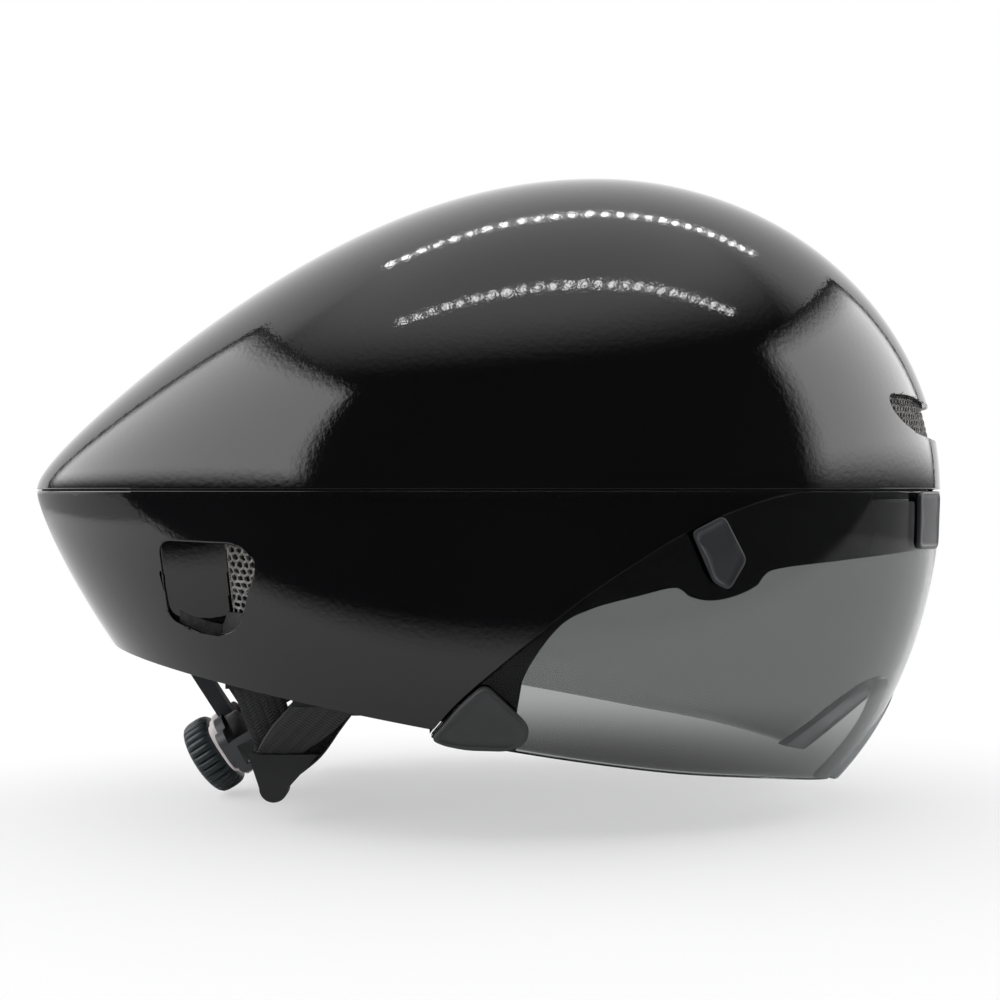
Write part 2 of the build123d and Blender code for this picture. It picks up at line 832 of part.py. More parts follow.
def ribbon(sections):
    """A flat strap through upright or level rectangles: centre, width along X, and the wall's direction."""
    wires = []
    for centre, width, wall_dir in sections:
        plane = Plane(origin=centre, x_dir=(1, 0, 0), z_dir=Vector(1, 0, 0).cross(Vector(*wall_dir)))
        wires.append(plane * Rectangle(width, webbing_wall).wire())
    return Solid.make_loft(wires, True)


def divider_layer(side, layer):
    """Place in Y of a strap layer inside the divider: 1 for the outer, -1 for the inner."""
    return side * (divider_y + layer * (webbing_wall + strap_layer_gap) / 2)


def strap_top(x):
    return rim_height(x + strap_anchor_length / 2, liner_recess) - strap_anchor_proud


def side_strap(side, top_x, top_y, layer):
    """One leg of the V, from its anchor in the foam down into the divider."""
    knee_z = divider_low + divider_height
    slot_x = divider_slot_x()
    lean = math.atan2(top_x - slot_x, strap_top(top_x) - knee_z)
    wide = webbing_width / math.cos(lean)
    y = divider_layer(side, layer)
    return ribbon([
        ((top_x, side * top_y, strap_top(top_x)), wide, (0, 1, 0)),
        ((slot_x, y, knee_z), webbing_width - divider_wall, (0, 1, 0)),
        ((slot_x, y, knee_z - divider_height / 3), webbing_width - divider_wall * 4, (0, 1, 0)),
    ])


def front_strap(side):
    return side_strap(side, front_strap_x, front_strap_y, 1)


def rear_strap(side):
    return side_strap(side, rear_strap_x, rear_strap_y, -1)


def strap_anchor(side, x, y):
    """Moulded block in the foam's edge that holds one strap's end."""
    low = strap_top(x)
    return block(x - strap_anchor_length / 2, x + strap_anchor_length / 2, side * y - strap_anchor_width / 2,
                 side * y + strap_anchor_width / 2, low, low + strap_anchor_height)


def strap_anchor_list():
    anchors = []
    for side in [-1, 1]:
        anchors.append(strap_anchor(side, front_strap_x, front_strap_y))
        anchors.append(strap_anchor(side, rear_strap_x, rear_strap_y))
    return anchors


def divider_slot_x():
    """Middle of the divider's slots, part of the way along its forward lean."""
    return divider_x + divider_lean / 2


def divider_half_thickness():
    return webbing_wall + strap_layer_gap / 2 + divider_wall


def strap_divider(side):
    """Tapered slider at the foot of the V, leaning forward at its top, with a slot for each strap."""
    nose = Pos(divider_x, divider_low + divider_nose_radius) * Circle(divider_nose_radius)
    top = divider_low + divider_height
    foot = divider_low + divider_nose_radius
    top_rear = divider_x + divider_lean - divider_top_width / 2
    top_front = divider_x + divider_lean + divider_top_width / 2
    body = make_face(Polyline([
        (top_rear, top), (top_front, top), (divider_x + divider_nose_radius, foot),
        (divider_x - divider_nose_radius, foot), (top_rear, top)]))
    plane = Plane(origin=(0, side * divider_y, 0), x_dir=(1, 0, 0), z_dir=(0, -1, 0))
    half = divider_half_thickness()
    solid = extrude(plane * (nose + body), half, both=True)
    depth = divider_height / 3 + divider_room
    for layer in [-1, 1]:
        slot = Pos(divider_slot_x(), divider_layer(side, layer), top - depth / 2) * Box(
            webbing_width - divider_wall, webbing_wall + divider_room, depth)
        solid = solid - slot
    return solid


def chin_strap(side):
    """Strap from the divider's inner face, gathered there, up to the buckle inside the helmet."""
    start = Vector(divider_x, side * (divider_y - divider_half_thickness() - webbing_wall / 2), chin_strap_height)
    end = Vector(buckle_x, side * buckle_half_length, buckle_low + buckle_height / 2)
    spread = start + (end - start) * chin_spread_share
    return ribbon([
        (start, chin_strap_neck, (0, side, 1)),
        (spread, webbing_width, (0, side, 1)),
        (end, webbing_width, (0, 0, 1)),
    ])


# Buckle

def buckle_block(y_from, y_to):
    """Half of the buckle as a block with rounded upright corners."""
    length = abs(y_to - y_from)
    face = Pos(buckle_x, (y_from + y_to) / 2) * RectangleRounded(buckle_width, length, buckle_corner)
    return Pos(0, 0, buckle_low) * extrude(face, buckle_height)


def tongue_space(room):
    """The tongue that lies over the socket, or the socket's channel for it."""
    top = buckle_low + buckle_height
    rear_x = buckle_x - buckle_width / 2 + buckle_back_wall
    front_x = buckle_x + buckle_width / 2
    spill = overrun if room else 0
    return block(rear_x - room + buckle_clearance, front_x + spill, buckle_joint_y - tongue_reach - room,
                 buckle_joint_y + buckle_clearance, top - tongue_wall - room, top + spill)


def buckle_magnet(top_z):
    place = Pos(buckle_x, buckle_joint_y - tongue_reach / 2, top_z - buckle_magnet_thickness / 2)
    return place * Cylinder(buckle_magnet_radius, buckle_magnet_thickness)


def socket_magnet():
    return buckle_magnet(buckle_low + buckle_height - tongue_wall - buckle_clearance)


def clip_magnet():
    return buckle_magnet(buckle_low + buckle_height - tongue_wall + buckle_magnet_thickness)


def buckle_socket():
    solid = buckle_block(-buckle_half_length, buckle_joint_y) - tongue_space(buckle_clearance)
    return solid - socket_magnet()


def buckle_clip():
    solid = buckle_block(buckle_joint_y + buckle_clearance, buckle_half_length) + tongue_space(0)
    return solid - clip_magnet()


def write(name, shape):
    """Write one node as a STEP file of one or more separate solids."""
    solids = shape.solids()
    result = solids[0] if len(solids) == 1 else Compound(solids)
    result.label = name
    export_step(result, f"parts/{name}.step")
    print(name, len(solids), round(sum(solid.volume for solid in solids)))


def write_pair(name, maker):
    """Write a right and a left node from a maker that takes the side."""
    write(f"{name}_right", maker(-1))
    write(f"{name}_left", maker(1))


os.makedirs("parts", exist_ok=True)
write("crown_shell", crown_shell())
write("skirt_shell", skirt_shell())
write("crown_liner", crown_liner())
write("lower_liner", lower_liner())
write("front_vent_mesh", front_vent_mesh())
write_pair("rear_vent_mesh", rear_vent_mesh)
write_pair("vent_scoop", vent_scoop)
write("visor_seat", visor_seat())
write("seat_magnets", seat_magnets())
write("brow_pad", brow_pad())
write("crown_pad_centre", crown_pad(0))
write_pair("crown_pad", lambda side: crown_pad(side * crown_pad_offset))
write_pair("side_pad", side_pad)
write_pair("temple_anchor", temple_anchor)
write_pair("fit_band", lambda side: fit_band(side) - anchor_pin(side))
write("hanger_anchor", hanger_anchor())
write("pivot_pin", pivot_pin())
write("strap_anchors", Compound(strap_anchor_list()))
write_pair("front_strap", front_strap)
write_pair("rear_strap", rear_strap)
write_pair("strap_divider", strap_divider)
write_pair("chin_strap", chin_strap)
write("buckle_socket", buckle_socket())
write("socket_magnet", socket_magnet())
write("buckle_clip", buckle_clip())
write("clip_magnet", clip_magnet())
write("visor_lens", visor_lens())
write("visor_frame", visor_frame())
write("nose_trim", nose_trim())
write("visor_magnets", visor_magnets())
write_pair("side_tab", lambda side: proud_patch(side_tab_shares, tab_proud, side))
write_pair("front_tab", lambda side: proud_patch(front_tab_shares, tab_proud, side))
write_pair("corner_grip", lambda side: proud_patch(corner_grip_shares, grip_proud, side))
write_pair("hanger_arm", hanger_arm)
write("cradle_plate", cradle_plate())
write("dial_housing", dial_housing())
write("pawl_spring", pawl_spring())
write("dial_axle", dial_axle())
write_pair("occipital_pad", occipital_pad)
write("dial_knob", dial_knob())
write("knob_cap", knob_cap())
write("pinion", pinion())
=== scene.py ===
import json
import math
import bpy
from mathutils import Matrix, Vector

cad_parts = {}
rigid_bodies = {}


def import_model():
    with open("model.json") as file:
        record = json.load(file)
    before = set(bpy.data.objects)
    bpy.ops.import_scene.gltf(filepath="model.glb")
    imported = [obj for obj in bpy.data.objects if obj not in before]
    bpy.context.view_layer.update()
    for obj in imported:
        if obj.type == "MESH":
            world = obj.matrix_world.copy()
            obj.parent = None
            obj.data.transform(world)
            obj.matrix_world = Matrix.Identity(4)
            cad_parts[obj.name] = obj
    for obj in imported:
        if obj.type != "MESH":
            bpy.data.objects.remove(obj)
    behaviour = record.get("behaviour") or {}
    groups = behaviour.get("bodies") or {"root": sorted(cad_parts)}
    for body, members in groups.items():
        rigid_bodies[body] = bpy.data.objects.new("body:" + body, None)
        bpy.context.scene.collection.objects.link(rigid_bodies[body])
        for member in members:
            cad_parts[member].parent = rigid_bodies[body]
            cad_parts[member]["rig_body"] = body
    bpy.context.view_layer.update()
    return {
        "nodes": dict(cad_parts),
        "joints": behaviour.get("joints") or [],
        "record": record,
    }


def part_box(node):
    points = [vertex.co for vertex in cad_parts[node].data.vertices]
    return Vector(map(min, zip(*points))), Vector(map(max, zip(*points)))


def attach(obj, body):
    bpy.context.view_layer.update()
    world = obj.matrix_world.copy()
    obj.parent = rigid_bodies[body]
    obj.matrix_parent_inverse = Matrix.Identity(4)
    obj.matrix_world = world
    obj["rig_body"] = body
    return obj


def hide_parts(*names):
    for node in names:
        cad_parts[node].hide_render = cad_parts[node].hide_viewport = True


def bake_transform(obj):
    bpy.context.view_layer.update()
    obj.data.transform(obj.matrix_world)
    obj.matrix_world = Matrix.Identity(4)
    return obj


bl_info = {
    "name": "Aero Time Trial Helmet",
    "version": (1, 0, 0),
    "blender": (4, 5, 0),
    "location": "3D View > Sidebar > Helmet",
    "description": "Builds the finished helmet around its fixed frame",
    "category": "Object",
}

import bmesh
import bpy
from mathutils import Matrix, Vector, noise

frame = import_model()

MM = 0.001
CROWN_LOW, CROWN_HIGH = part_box("crown_shell")
SIDES = [("right", -1), ("left", 1)]

# Shares of half the length and of the lower depth, in the side view
VISOR_LINE_SHARES = [
    (0.64, 0.0), (0.596, -0.006), (0.536, -0.02), (0.455, -0.049), (0.391, -0.078), (0.323, -0.117),
    (0.185, -0.213), (0.056, -0.324), (-0.043, -0.416), (-0.102, -0.488),
]
LENS_HEM_SHARES = [(-0.102, -0.494), (0.127, -0.536), (0.36, -0.576), (0.56, -0.605), (0.726, -0.638)]
MASK_LINE_SHARES = [
    (0.064, -0.44), (0.078, -0.364), (0.139, -0.27), (0.2, -0.233), (0.288, -0.208), (0.36, -0.192),
    (0.387, -0.21), (0.43, -0.219), (0.478, -0.21), (0.522, -0.189), (0.552, -0.16), (0.692, -0.145),
    (0.855, -0.132),
]
SIDE_TAB_SHARES = [(0.387, -0.082), (0.449, -0.049), (0.495, -0.138), (0.461, -0.198), (0.431, -0.183)]
FRONT_TAB_SHARES = [(0.884, -0.004), (0.955, -0.004), (0.955, -0.13), (0.884, -0.127)]
CORNER_GRIP_SHARES = [
    (-0.098, -0.4925), (-0.041, -0.42), (0.004, -0.378), (0.076, -0.452), (0.087, -0.47), (0.084, -0.492),
    (0.068, -0.508), (0.04, -0.515), (-0.03, -0.514), (-0.075, -0.504),
]
REAR_VENT_SHARES = [
    (-0.638, -0.104), (-0.47, -0.109), (-0.43, -0.145), (-0.474, -0.284), (-0.528, -0.302), (-0.624, -0.268),
]
FRONT_VENT_SHARES = [
    (0.815, 0.203), (0.875, 0.205), (0.928, 0.192), (1.02, 0.177), (1.02, 0.105), (0.935, 0.115),
    (0.889, 0.123), (0.85, 0.145), (0.823, 0.172),
]


# Sizes and colours

def size_value(label, description, default):
    return bpy.props.FloatProperty(name=label, description=description, unit="LENGTH", default=default)


def colour_value(label, description, default):
    return bpy.props.FloatVectorProperty(
        name=label, description=description, subtype="COLOR", size=3, default=default)


class HelmetForm(bpy.types.PropertyGroup):
    """Sizes of the helmet's outer form."""
    length: size_value("Length", "From the tail to the nose", CROWN_HIGH.x - CROWN_LOW.x)
    width: size_value("Width", "Across the seam at its widest", CROWN_HIGH.y - CROWN_LOW.y)
    seam: size_value("Seam height", "Height of the seam between the two shells", CROWN_LOW.z)
    crown: size_value("Crown height", "Crown above the seam", CROWN_HIGH.z - CROWN_LOW.z)
    depth: size_value("Lower depth", "Full depth of the lower form under the seam", 146.8 * MM)
    wall: size_value("Shell wall", "Thickness of the two shells and the lens", 2.0 * MM)
    edge: size_value("Edge radius", "Rounding of the shells' edges", 0.55 * MM)
    seam_gap: size_value("Seam gap", "Gap between the crown and the lens", 0.35 * MM)
    visor_gap: size_value("Visor gap", "Gap between the skirt and the lens", 0.5 * MM)
    rim_drop: size_value("Rim drop", "Skirt's rim under the seam amidships", 72.8 * MM)
    rim_slope: bpy.props.FloatProperty(
        name="Rim slope", description="Fall of the skirt's rim towards the front", default=0.1727)
    nose_half_width: size_value("Nose half width", "Half width of the nose notch", 37.0 * MM)
    nose_rise: size_value("Nose notch drop", "Top of the nose notch under the seam", 65.5 * MM)
    lens_edge: size_value("Lens edge", "Rounding of the lens's edges", 0.45 * MM)
    border_wall: size_value("Border wall", "Thickness of the opaque border", 0.8 * MM)
    border_edge: size_value("Border edge", "Rounding of the border's edges", 0.2 * MM)
    bond_gap: size_value("Bond gap", "Gap between the lens and its border", 0.2 * MM)
    tab_height: size_value("Tab height", "How far the grey tabs stand out", 1.2 * MM)
    tab_rim: size_value("Tab rim", "Width of the rim round a tab's face", 0.9 * MM)
    tab_corner: size_value("Tab corner", "Corner radius of the grey tabs", 2.0 * MM)
    grip_height: size_value("Grip height", "How far the corner grips stand out", 2.2 * MM)
    grip_rim: size_value("Grip rim", "Width of the rim round a grip's face", 1.6 * MM)
    grip_corner: size_value("Grip corner", "Corner radius of the corner grips", 3.0 * MM)


class HelmetFit(bpy.types.PropertyGroup):
    """Sizes of the vents' insides, the straps, the fit bands and the dial."""
    cell: size_value("Mesh cell", "Width of a cell in the vent meshes", 2.5 * MM)
    web: size_value("Mesh web", "Thickness of the webs between the cells", 0.55 * MM)
    mesh_wall: size_value("Mesh wall", "Thickness of the vent meshes", 0.9 * MM)
    scoop_depth: size_value("Scoop depth", "Depth of the rear vents at their mesh", 8.0 * MM)
    scoop_wall: size_value("Scoop wall", "Thickness of the rear vents' floors", 1.0 * MM)
    strap_width: size_value("Strap width", "Width of the webbing", 15.0 * MM)
    strap_wall: size_value("Strap thickness", "Thickness of the webbing", 1.4 * MM)
    strap_edge: size_value("Strap edge", "Rounding of the webbing's edges", 0.4 * MM)
    slot_x: size_value("Slot place", "Middle of the strap dividers' slots along X", -64.3 * MM)
    slot_depth: size_value("Slot depth", "Depth of the strap dividers' slots", 5.0 * MM)
    band_height: size_value("Band height", "Height of the fit bands", 6.0 * MM)
    band_wall: size_value("Band thickness", "Thickness of the fit bands", 1.2 * MM)
    band_edge: size_value("Band edge", "Rounding of the fit bands' edges", 0.35 * MM)
    knob_ribs: bpy.props.IntProperty(name="Knob ribs", description="Ribs round the dial's knob", default=30)
    rib_depth: size_value("Rib depth", "Depth of the grooves between the knob's ribs", 0.9 * MM)
    knob_radius: size_value("Knob radius", "Radius of the dial's knob", 13.3 * MM)
    knob_depth: size_value("Knob depth", "Thickness of the dial's knob", 10.0 * MM)
    cap_radius: size_value("Cap radius", "Radius of the cap in the knob", 9.0 * MM)
    housing_width: size_value("Housing width", "Width of the housing behind the knob", 38.0 * MM)
    housing_height: size_value("Housing height", "Height of the housing behind the knob", 23.0 * MM)
    housing_corner: size_value("Housing corner", "Corner radius of the housing", 7.0 * MM)
    housing_depth: size_value("Housing depth", "Thickness of the housing", 7.6 * MM)
    housing_edge: size_value("Housing edge", "Rounding of the housing's edges", 0.35 * MM)
    pad_swell: size_value("Pad swell", "How far a pad's cloth may move as it swells", 0.9 * MM)


class HelmetColours(bpy.types.PropertyGroup):
    """Colours that a user would change."""
    paint: colour_value("Paint", "Colour of the glossy shells", (0.004, 0.004, 0.0045))
    lens: colour_value("Lens", "Tint of the smoke lens", (0.36, 0.37, 0.365))
    tab: colour_value("Tabs", "Colour of the grey tabs", (0.026, 0.027, 0.031))
    dial: colour_value("Dial", "Colour of the fit dial's knob", (0.010, 0.018, 0.022))
    housing: colour_value("Dial housing", "Colour of the housing behind the knob", (0.6, 0.55, 0.55))
    webbing: colour_value("Webbing", "Colour of the straps", (0.004, 0.004, 0.0048))
    floor: colour_value("Floor", "Colour of the floor", (0.82, 0.82, 0.82))


# The outer form

# Shares of half the length at which each profile is fullest, and how it tapers behind that
WIDTH_PEAK, WIDTH_TAPER = 0.076, 0.65
CROWN_PEAK, CROWN_TAPER, CROWN_BLUNT = 0.245, 0.68, 0.58
DEPTH_PEAK, DEPTH_TAPER = 0.12, 0.86
TINY = 1e-6
# How far ahead and behind the form's slope is measured
NORMAL_STEP = 0.2 * MM


def profile_share(x, peak, reach, taper, blunt=0.0):
    """Share of a profile's full size at x: an ellipse in front of its peak, a taper behind it."""
    if x >= peak:
        part = min(1.0, (x - peak) / (reach - peak))
        return math.sqrt(1 - part * part)
    part = min(1.0, (peak - x) / (peak + reach))
    return ((1 - part * part) * (1 - blunt * part * part)) ** taper


def radii(form, x, inset=0.0):
    """Half width, height and depth of the form's section at x, drawn in by an inset."""
    half = form.length / 2
    reach = half - inset
    width = (form.width / 2 - inset) * profile_share(x, WIDTH_PEAK * half, reach, WIDTH_TAPER)
    height = (form.crown - inset) * profile_share(x, CROWN_PEAK * half, reach, CROWN_TAPER, CROWN_BLUNT)
    depth = (form.depth - inset) * profile_share(x, DEPTH_PEAK * half, reach, DEPTH_TAPER)
    return width, height, depth


def form_point(form, x, angle, inset=0.0):
    """A point on the form: angle 0 at the right seam, a quarter turn at the crown, minus that at the keel."""
    width, height, depth = radii(form, x, inset)
    rise = height if angle > 0 else depth
    return Vector((x, -width * math.cos(angle), form.seam + rise * math.sin(angle)))


def side_point(form, x, z, side):
    """The point of the form's right or left side at x and z."""
    width, height, depth = radii(form, x)
    rise = height if z > form.seam else depth
    share = min(1.0, abs(z - form.seam) / max(rise, TINY))
    return Vector((x, side * width * math.sqrt(1 - share * share), z))


def form_level(form, point, inset=0.0):
    """One on the form, less inside it."""
    width, height, depth = radii(form, point.x, inset)
    rise = height if point.z > form.seam else depth
    if min(width, rise) < TINY:
        return 1.0
    return (point.y / width) ** 2 + ((point.z - form.seam) / rise) ** 2


def form_normal(form, point, inset=0.0):
    """Outward direction of the form at a point on or near it."""
    step = NORMAL_STEP
    reach = form.length / 2 - inset - step
    x = max(-reach + step, min(reach - step, point.x))
    upper = point.z > form.seam

    def sizes(place):
        width, height, depth = radii(form, place, inset)
        return max(width, step), max(height if upper else depth, step)

    width, rise = sizes(x)
    drop = point.z - form.seam
    ahead = (point.y / sizes(x + step)[0]) ** 2 + (drop / sizes(x + step)[1]) ** 2
    behind = (point.y / sizes(x - step)[0]) ** 2 + (drop / sizes(x - step)[1]) ** 2
    slope = Vector(((ahead - behind) / (2 * step), 2 * point.y / width ** 2, 2 * drop / rise ** 2))
    if abs(point.x) > reach:
        return Vector((math.copysign(1, point.x), 0, 0))
    return slope.normalized()


def at_shares(form, shares):
    """Side view points from their shares of half the length and of the lower depth."""
    return [Vector((across * form.length / 2, form.seam + up * form.depth)) for across, up in shares]


def smooth_line(points, steps=8):
    """A finer line through 2-D points, curved from point to point."""
    line = []
    count = len(points)
    for index in range(count - 1):
        before = points[max(index - 1, 0)]
        here = points[index]
        there = points[index + 1]
        after = points[min(index + 2, count - 1)]
        tangent = there - before
        bend = 2 * before - 5 * here + 4 * there - after
        twist = 3 * here - before - 3 * there + after
        for step in range(steps):
            t = step / steps
            line.append((2 * here + tangent * t + bend * t * t + twist * t * t * t) / 2)
    line.append(points[-1].copy())
    return line


def rounded(points, radius, steps=6):
    """A closed outline with each of its corners turned into a small curve."""
    outline = []
    count = len(points)
    for index, corner in enumerate(points):
        to_last = points[index - 1] - corner
        to_next = points[(index + 1) % count] - corner
        reach = min(radius, to_last.length * ROOM_SHARE, to_next.length * ROOM_SHARE)
        start = corner + to_last.normalized() * reach
        end = corner + to_next.normalized() * reach
        for step in range(steps + 1):
            t = step / steps
            outline.append(start * (1 - t) ** 2 + corner * 2 * t * (1 - t) + end * t * t)
    return outline


# Mesh work

# Points closer than this are one point
MERGE = 0.002 * MM
# Share of an edge or a wall that a rounding may take up at each end
ROOM_SHARE = 0.45
# How far a point's level may be from one for it to lie on the form
ON_FORM = 0.003
# Least agreement between a face and the form for the form's direction to be used
FACING_LEAST = 0.55


def grid(columns, rows, place):
    """A grid whose points are put where place says, from shares along and across."""
    bm = bmesh.new()
    bmesh.ops.create_grid(bm, x_segments=columns, y_segments=rows, size=0.5)
    for vert in bm.verts:
        vert.co = place(vert.co.x + 0.5, vert.co.y + 0.5)
    bmesh.ops.remove_doubles(bm, verts=bm.verts, dist=MERGE)
    return bm


def inside(point, outline):
    """Whether a 2-D point lies inside a closed outline."""
    hit = False
    last = outline[-1]
    for here in outline:
        if (here.y > point.y) != (last.y > point.y):
            if point.x < (last.x - here.x) * (point.y - here.y) / (last.y - here.y) + here.x:
                hit = not hit
        last = here
    return hit


def face_outwards(bm, centre):
    """Turns a sheet's faces so that they point away from a point."""
    bmesh.ops.recalc_face_normals(bm, faces=bm.faces)
    score = sum(face.normal.dot(face.calc_center_median() - centre) * face.calc_area() for face in bm.faces)
    if score < 0:
        bmesh.ops.reverse_faces(bm, faces=bm.faces)


def to_object(bm, name):
    mesh = bpy.data.meshes.new(name)
    bm.to_mesh(mesh)
    bm.free()
    piece = bpy.data.objects.new(name, mesh)
    bpy.context.scene.collection.objects.link(piece)
    return piece


def thicken(piece, wall, offset=-1.0):
    """Gives a sheet its wall: behind it, or on both sides of it with an offset of nought."""
    solid = piece.modifiers.new("Wall", "SOLIDIFY")
    solid.thickness = wall
    solid.offset = offset


def bevel_edges(piece, width, degrees):
    """Rounds the edges that are sharper than an angle."""
    bevel = piece.modifiers.new("Edges", "BEVEL")
    bevel.width = width
    bevel.segments = 2
    bevel.limit_method = "ANGLE"
    bevel.angle_limit = math.radians(degrees)
    return bevel


def freeze(piece):
    """Turns a piece's modifiers into its mesh."""
    depsgraph = bpy.context.evaluated_depsgraph_get()
    depsgraph.update()
    mesh = bpy.data.meshes.new_from_object(piece.evaluated_get(depsgraph))
    piece.modifiers.clear()
    piece.data = mesh


def shade(piece, degrees=35.0):
    """Smooth shading with the sharper edges left crisp."""
    piece.data.polygons.foreach_set("use_smooth", [True] * len(piece.data.polygons))
    piece.data.set_sharp_from_angle(angle=math.radians(degrees))


def polish(form, piece, inset=0.0):
    """Gives the points that lie on the form the form's own direction, so that gloss runs true."""
    shade(piece, degrees=50.0)
    mesh = piece.data
    directions = {}
    for vert in mesh.vertices:
        if abs(form_level(form, vert.co, inset) - 1) < ON_FORM:
            directions[vert.index] = form_normal(form, vert.co, inset)
    corners = [tuple(corner.vector) for corner in mesh.corner_normals]
    for polygon in mesh.polygons:
        for loop in polygon.loop_indices:
            direction = directions.get(mesh.loops[loop].vertex_index)
            if direction is not None and direction.dot(polygon.normal) > FACING_LEAST:
                corners[loop] = tuple(direction)
    mesh.normals_split_custom_set(corners)


def finish_piece(piece, body, slot, material, *replaced):
    """Puts a piece on its body with its finish, in place of the frame's nodes."""
    piece.data.materials.clear()
    piece.data.materials.append(material)
    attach(piece, body)
    if replaced:
        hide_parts(*replaced)
    return piece


# Shared effects and materials

def add_node(tree, kind, inputs=None, **settings):
    """Adds a node with its settings and the plain values of its inputs."""
    node = tree.nodes.new(kind)
    for label, value in settings.items():
        setattr(node, label, value)
    set_inputs(node, inputs or {})
    return node


def set_inputs(node, inputs):
    for label, value in inputs.items():
        node.inputs[label].default_value = value


def new_group(name, inputs, outputs):
    group = bpy.data.node_groups.new(name, "ShaderNodeTree")
    for label, default in inputs.items():
        socket = group.interface.new_socket(label, in_out="INPUT", socket_type="NodeSocketFloat")
        socket.default_value = default
    for label in outputs:
        group.interface.new_socket(label, in_out="OUTPUT", socket_type="NodeSocketFloat")
    return group, group.nodes.new("NodeGroupInput"), group.nodes.new("NodeGroupOutput")


def grain_group():
    """Fine uneven surface: a height for bump and a mask for roughness."""
    if "Surface Grain" in bpy.data.node_groups:
        return bpy.data.node_groups["Surface Grain"]
    group, entry, leave = new_group(
        "Surface Grain", {"Scale": 400.0, "Detail": 3.0, "Patch Scale": 12.0}, ["Height", "Patches"])
    place = add_node(group, "ShaderNodeTexCoord")
    fine = add_node(group, "ShaderNodeTexNoise")
    broad = add_node(group, "ShaderNodeTexNoise", {"Detail": 4.0})
    link = group.links.new
    link(place.outputs["Object"], fine.inputs["Vector"])
    link(place.outputs["Object"], broad.inputs["Vector"])
    link(entry.outputs["Scale"], fine.inputs["Scale"])
    link(entry.outputs["Detail"], fine.inputs["Detail"])
    link(entry.outputs["Patch Scale"], broad.inputs["Scale"])
    link(fine.outputs["Fac"], leave.inputs["Height"])
    link(broad.outputs["Fac"], leave.inputs["Patches"])
    return group


def new_material(name):
    material = bpy.data.materials.new(name)
    material.use_nodes = True
    return material, material.node_tree, material.node_tree.nodes["Principled BSDF"]


def add_bump(tree, height, distance):
    """Leads a height into the normal of a material's shader."""
    bumps = add_node(tree, "ShaderNodeBump", {"Distance": distance})
    tree.links.new(height, bumps.inputs["Height"])
    tree.links.new(bumps.outputs["Normal"], tree.nodes["Principled BSDF"].inputs["Normal"])


def add_colours(tree, share, dark, light, start=0.0, end=1.0):
    """Leads a blend of two colours into the base colour of a material's shader."""
    ramp = add_node(tree, "ShaderNodeValToRGB")
    for element, place, colour in zip(ramp.color_ramp.elements, (start, end), (dark, light)):
        element.position = place
        element.color = (*colour, 1)
    tree.links.new(share, ramp.inputs["Fac"])
    tree.links.new(ramp.outputs["Color"], tree.nodes["Principled BSDF"].inputs["Base Color"])


def add_grain(tree, scale, distance, rough, patch_scale, detail, colours):
    """Grain in the bump, and uneven roughness and colour between two values of each."""
    grain = add_node(tree, "ShaderNodeGroup", node_tree=grain_group())
    set_inputs(grain, {"Scale": scale, "Detail": detail, "Patch Scale": patch_scale})
    add_bump(tree, grain.outputs["Height"], distance)
    uneven = add_node(tree, "ShaderNodeMapRange",
                      {"From Min": 0.3, "From Max": 0.7, "To Min": rough[0], "To Max": rough[1]})
    tree.links.new(grain.outputs["Patches"], uneven.inputs["Value"])
    tree.links.new(uneven.outputs["Result"], tree.nodes["Principled BSDF"].inputs["Roughness"])
    add_colours(tree, grain.outputs["Patches"], *colours, 0.35, 0.65)


def shade_of(colour, share):
    return tuple(channel * share for channel in colour)


def plain_plastic(name, colour, bump, rough):
    """Moulded plastic with its fine grain and slightly uneven colour."""
    if name not in bpy.data.materials:
        tones = shade_of(colour, 0.82), shade_of(colour, 1.12)
        add_grain(new_material(name)[1], 900.0, bump, rough, 60.0, 3.0, tones)
    return bpy.data.materials[name]


def gloss_paint(colours):
    """Sprayed high gloss with a faint orange peel."""
    if "Gloss Paint" not in bpy.data.materials:
        _, tree, shader = new_material("Gloss Paint")
        tones = shade_of(colours.paint, 0.85), shade_of(colours.paint, 1.2)
        add_grain(tree, 620.0, 0.03 * MM, (0.05, 0.1), 9.0, 2.0, tones)
        set_inputs(shader, {"IOR": 1.48, "Coat Weight": 0.12, "Coat Roughness": 0.03})
    return bpy.data.materials["Gloss Paint"]


def smoke_lens(colours):
    """Clear smoke plastic that lets light through in its own tint."""
    tint = (*colours.lens, 1)
    material, tree, shader = new_material("Smoke Lens")
    set_inputs(shader, {"Base Color": tint, "Transmission Weight": 1.0, "IOR": 1.24, "Roughness": 0.0})
    clear = add_node(tree, "ShaderNodeBsdfTransparent", {"Color": tint})
    path = add_node(tree, "ShaderNodeLightPath")
    surface = mix_shaders(tree, path.outputs["Is Shadow Ray"], shader.outputs["BSDF"], clear.outputs["BSDF"])
    tree.links.new(surface, tree.nodes["Material Output"].inputs["Surface"])
    return material


def foam_material():
    """Moulded foam beads."""
    material, tree, _ = new_material("Foam")
    add_grain(tree, 300.0, 0.1 * MM, (0.75, 0.9), 40.0, 2.0, ((0.016, 0.016, 0.017), (0.028, 0.028, 0.03)))
    place = add_node(tree, "ShaderNodeTexCoord")
    beads = add_node(tree, "ShaderNodeTexVoronoi", feature="DISTANCE_TO_EDGE")
    set_inputs(beads, {"Scale": 330.0})
    tree.links.new(place.outputs["Object"], beads.inputs["Vector"])
    add_bump(tree, beads.outputs["Distance"], 0.5 * MM)
    return material


def band_plastic():
    return plain_plastic("Band Plastic", (0.014, 0.016, 0.022), 0.02 * MM, (0.35, 0.5))


def cap_plastic():
    return plain_plastic("Cap Plastic", (0.012, 0.02, 0.024), 0.02 * MM, (0.3, 0.4))


def mesh_plastic():
    return plain_plastic("Vent Mesh", (0.19, 0.185, 0.18), 0.03 * MM, (0.4, 0.6))


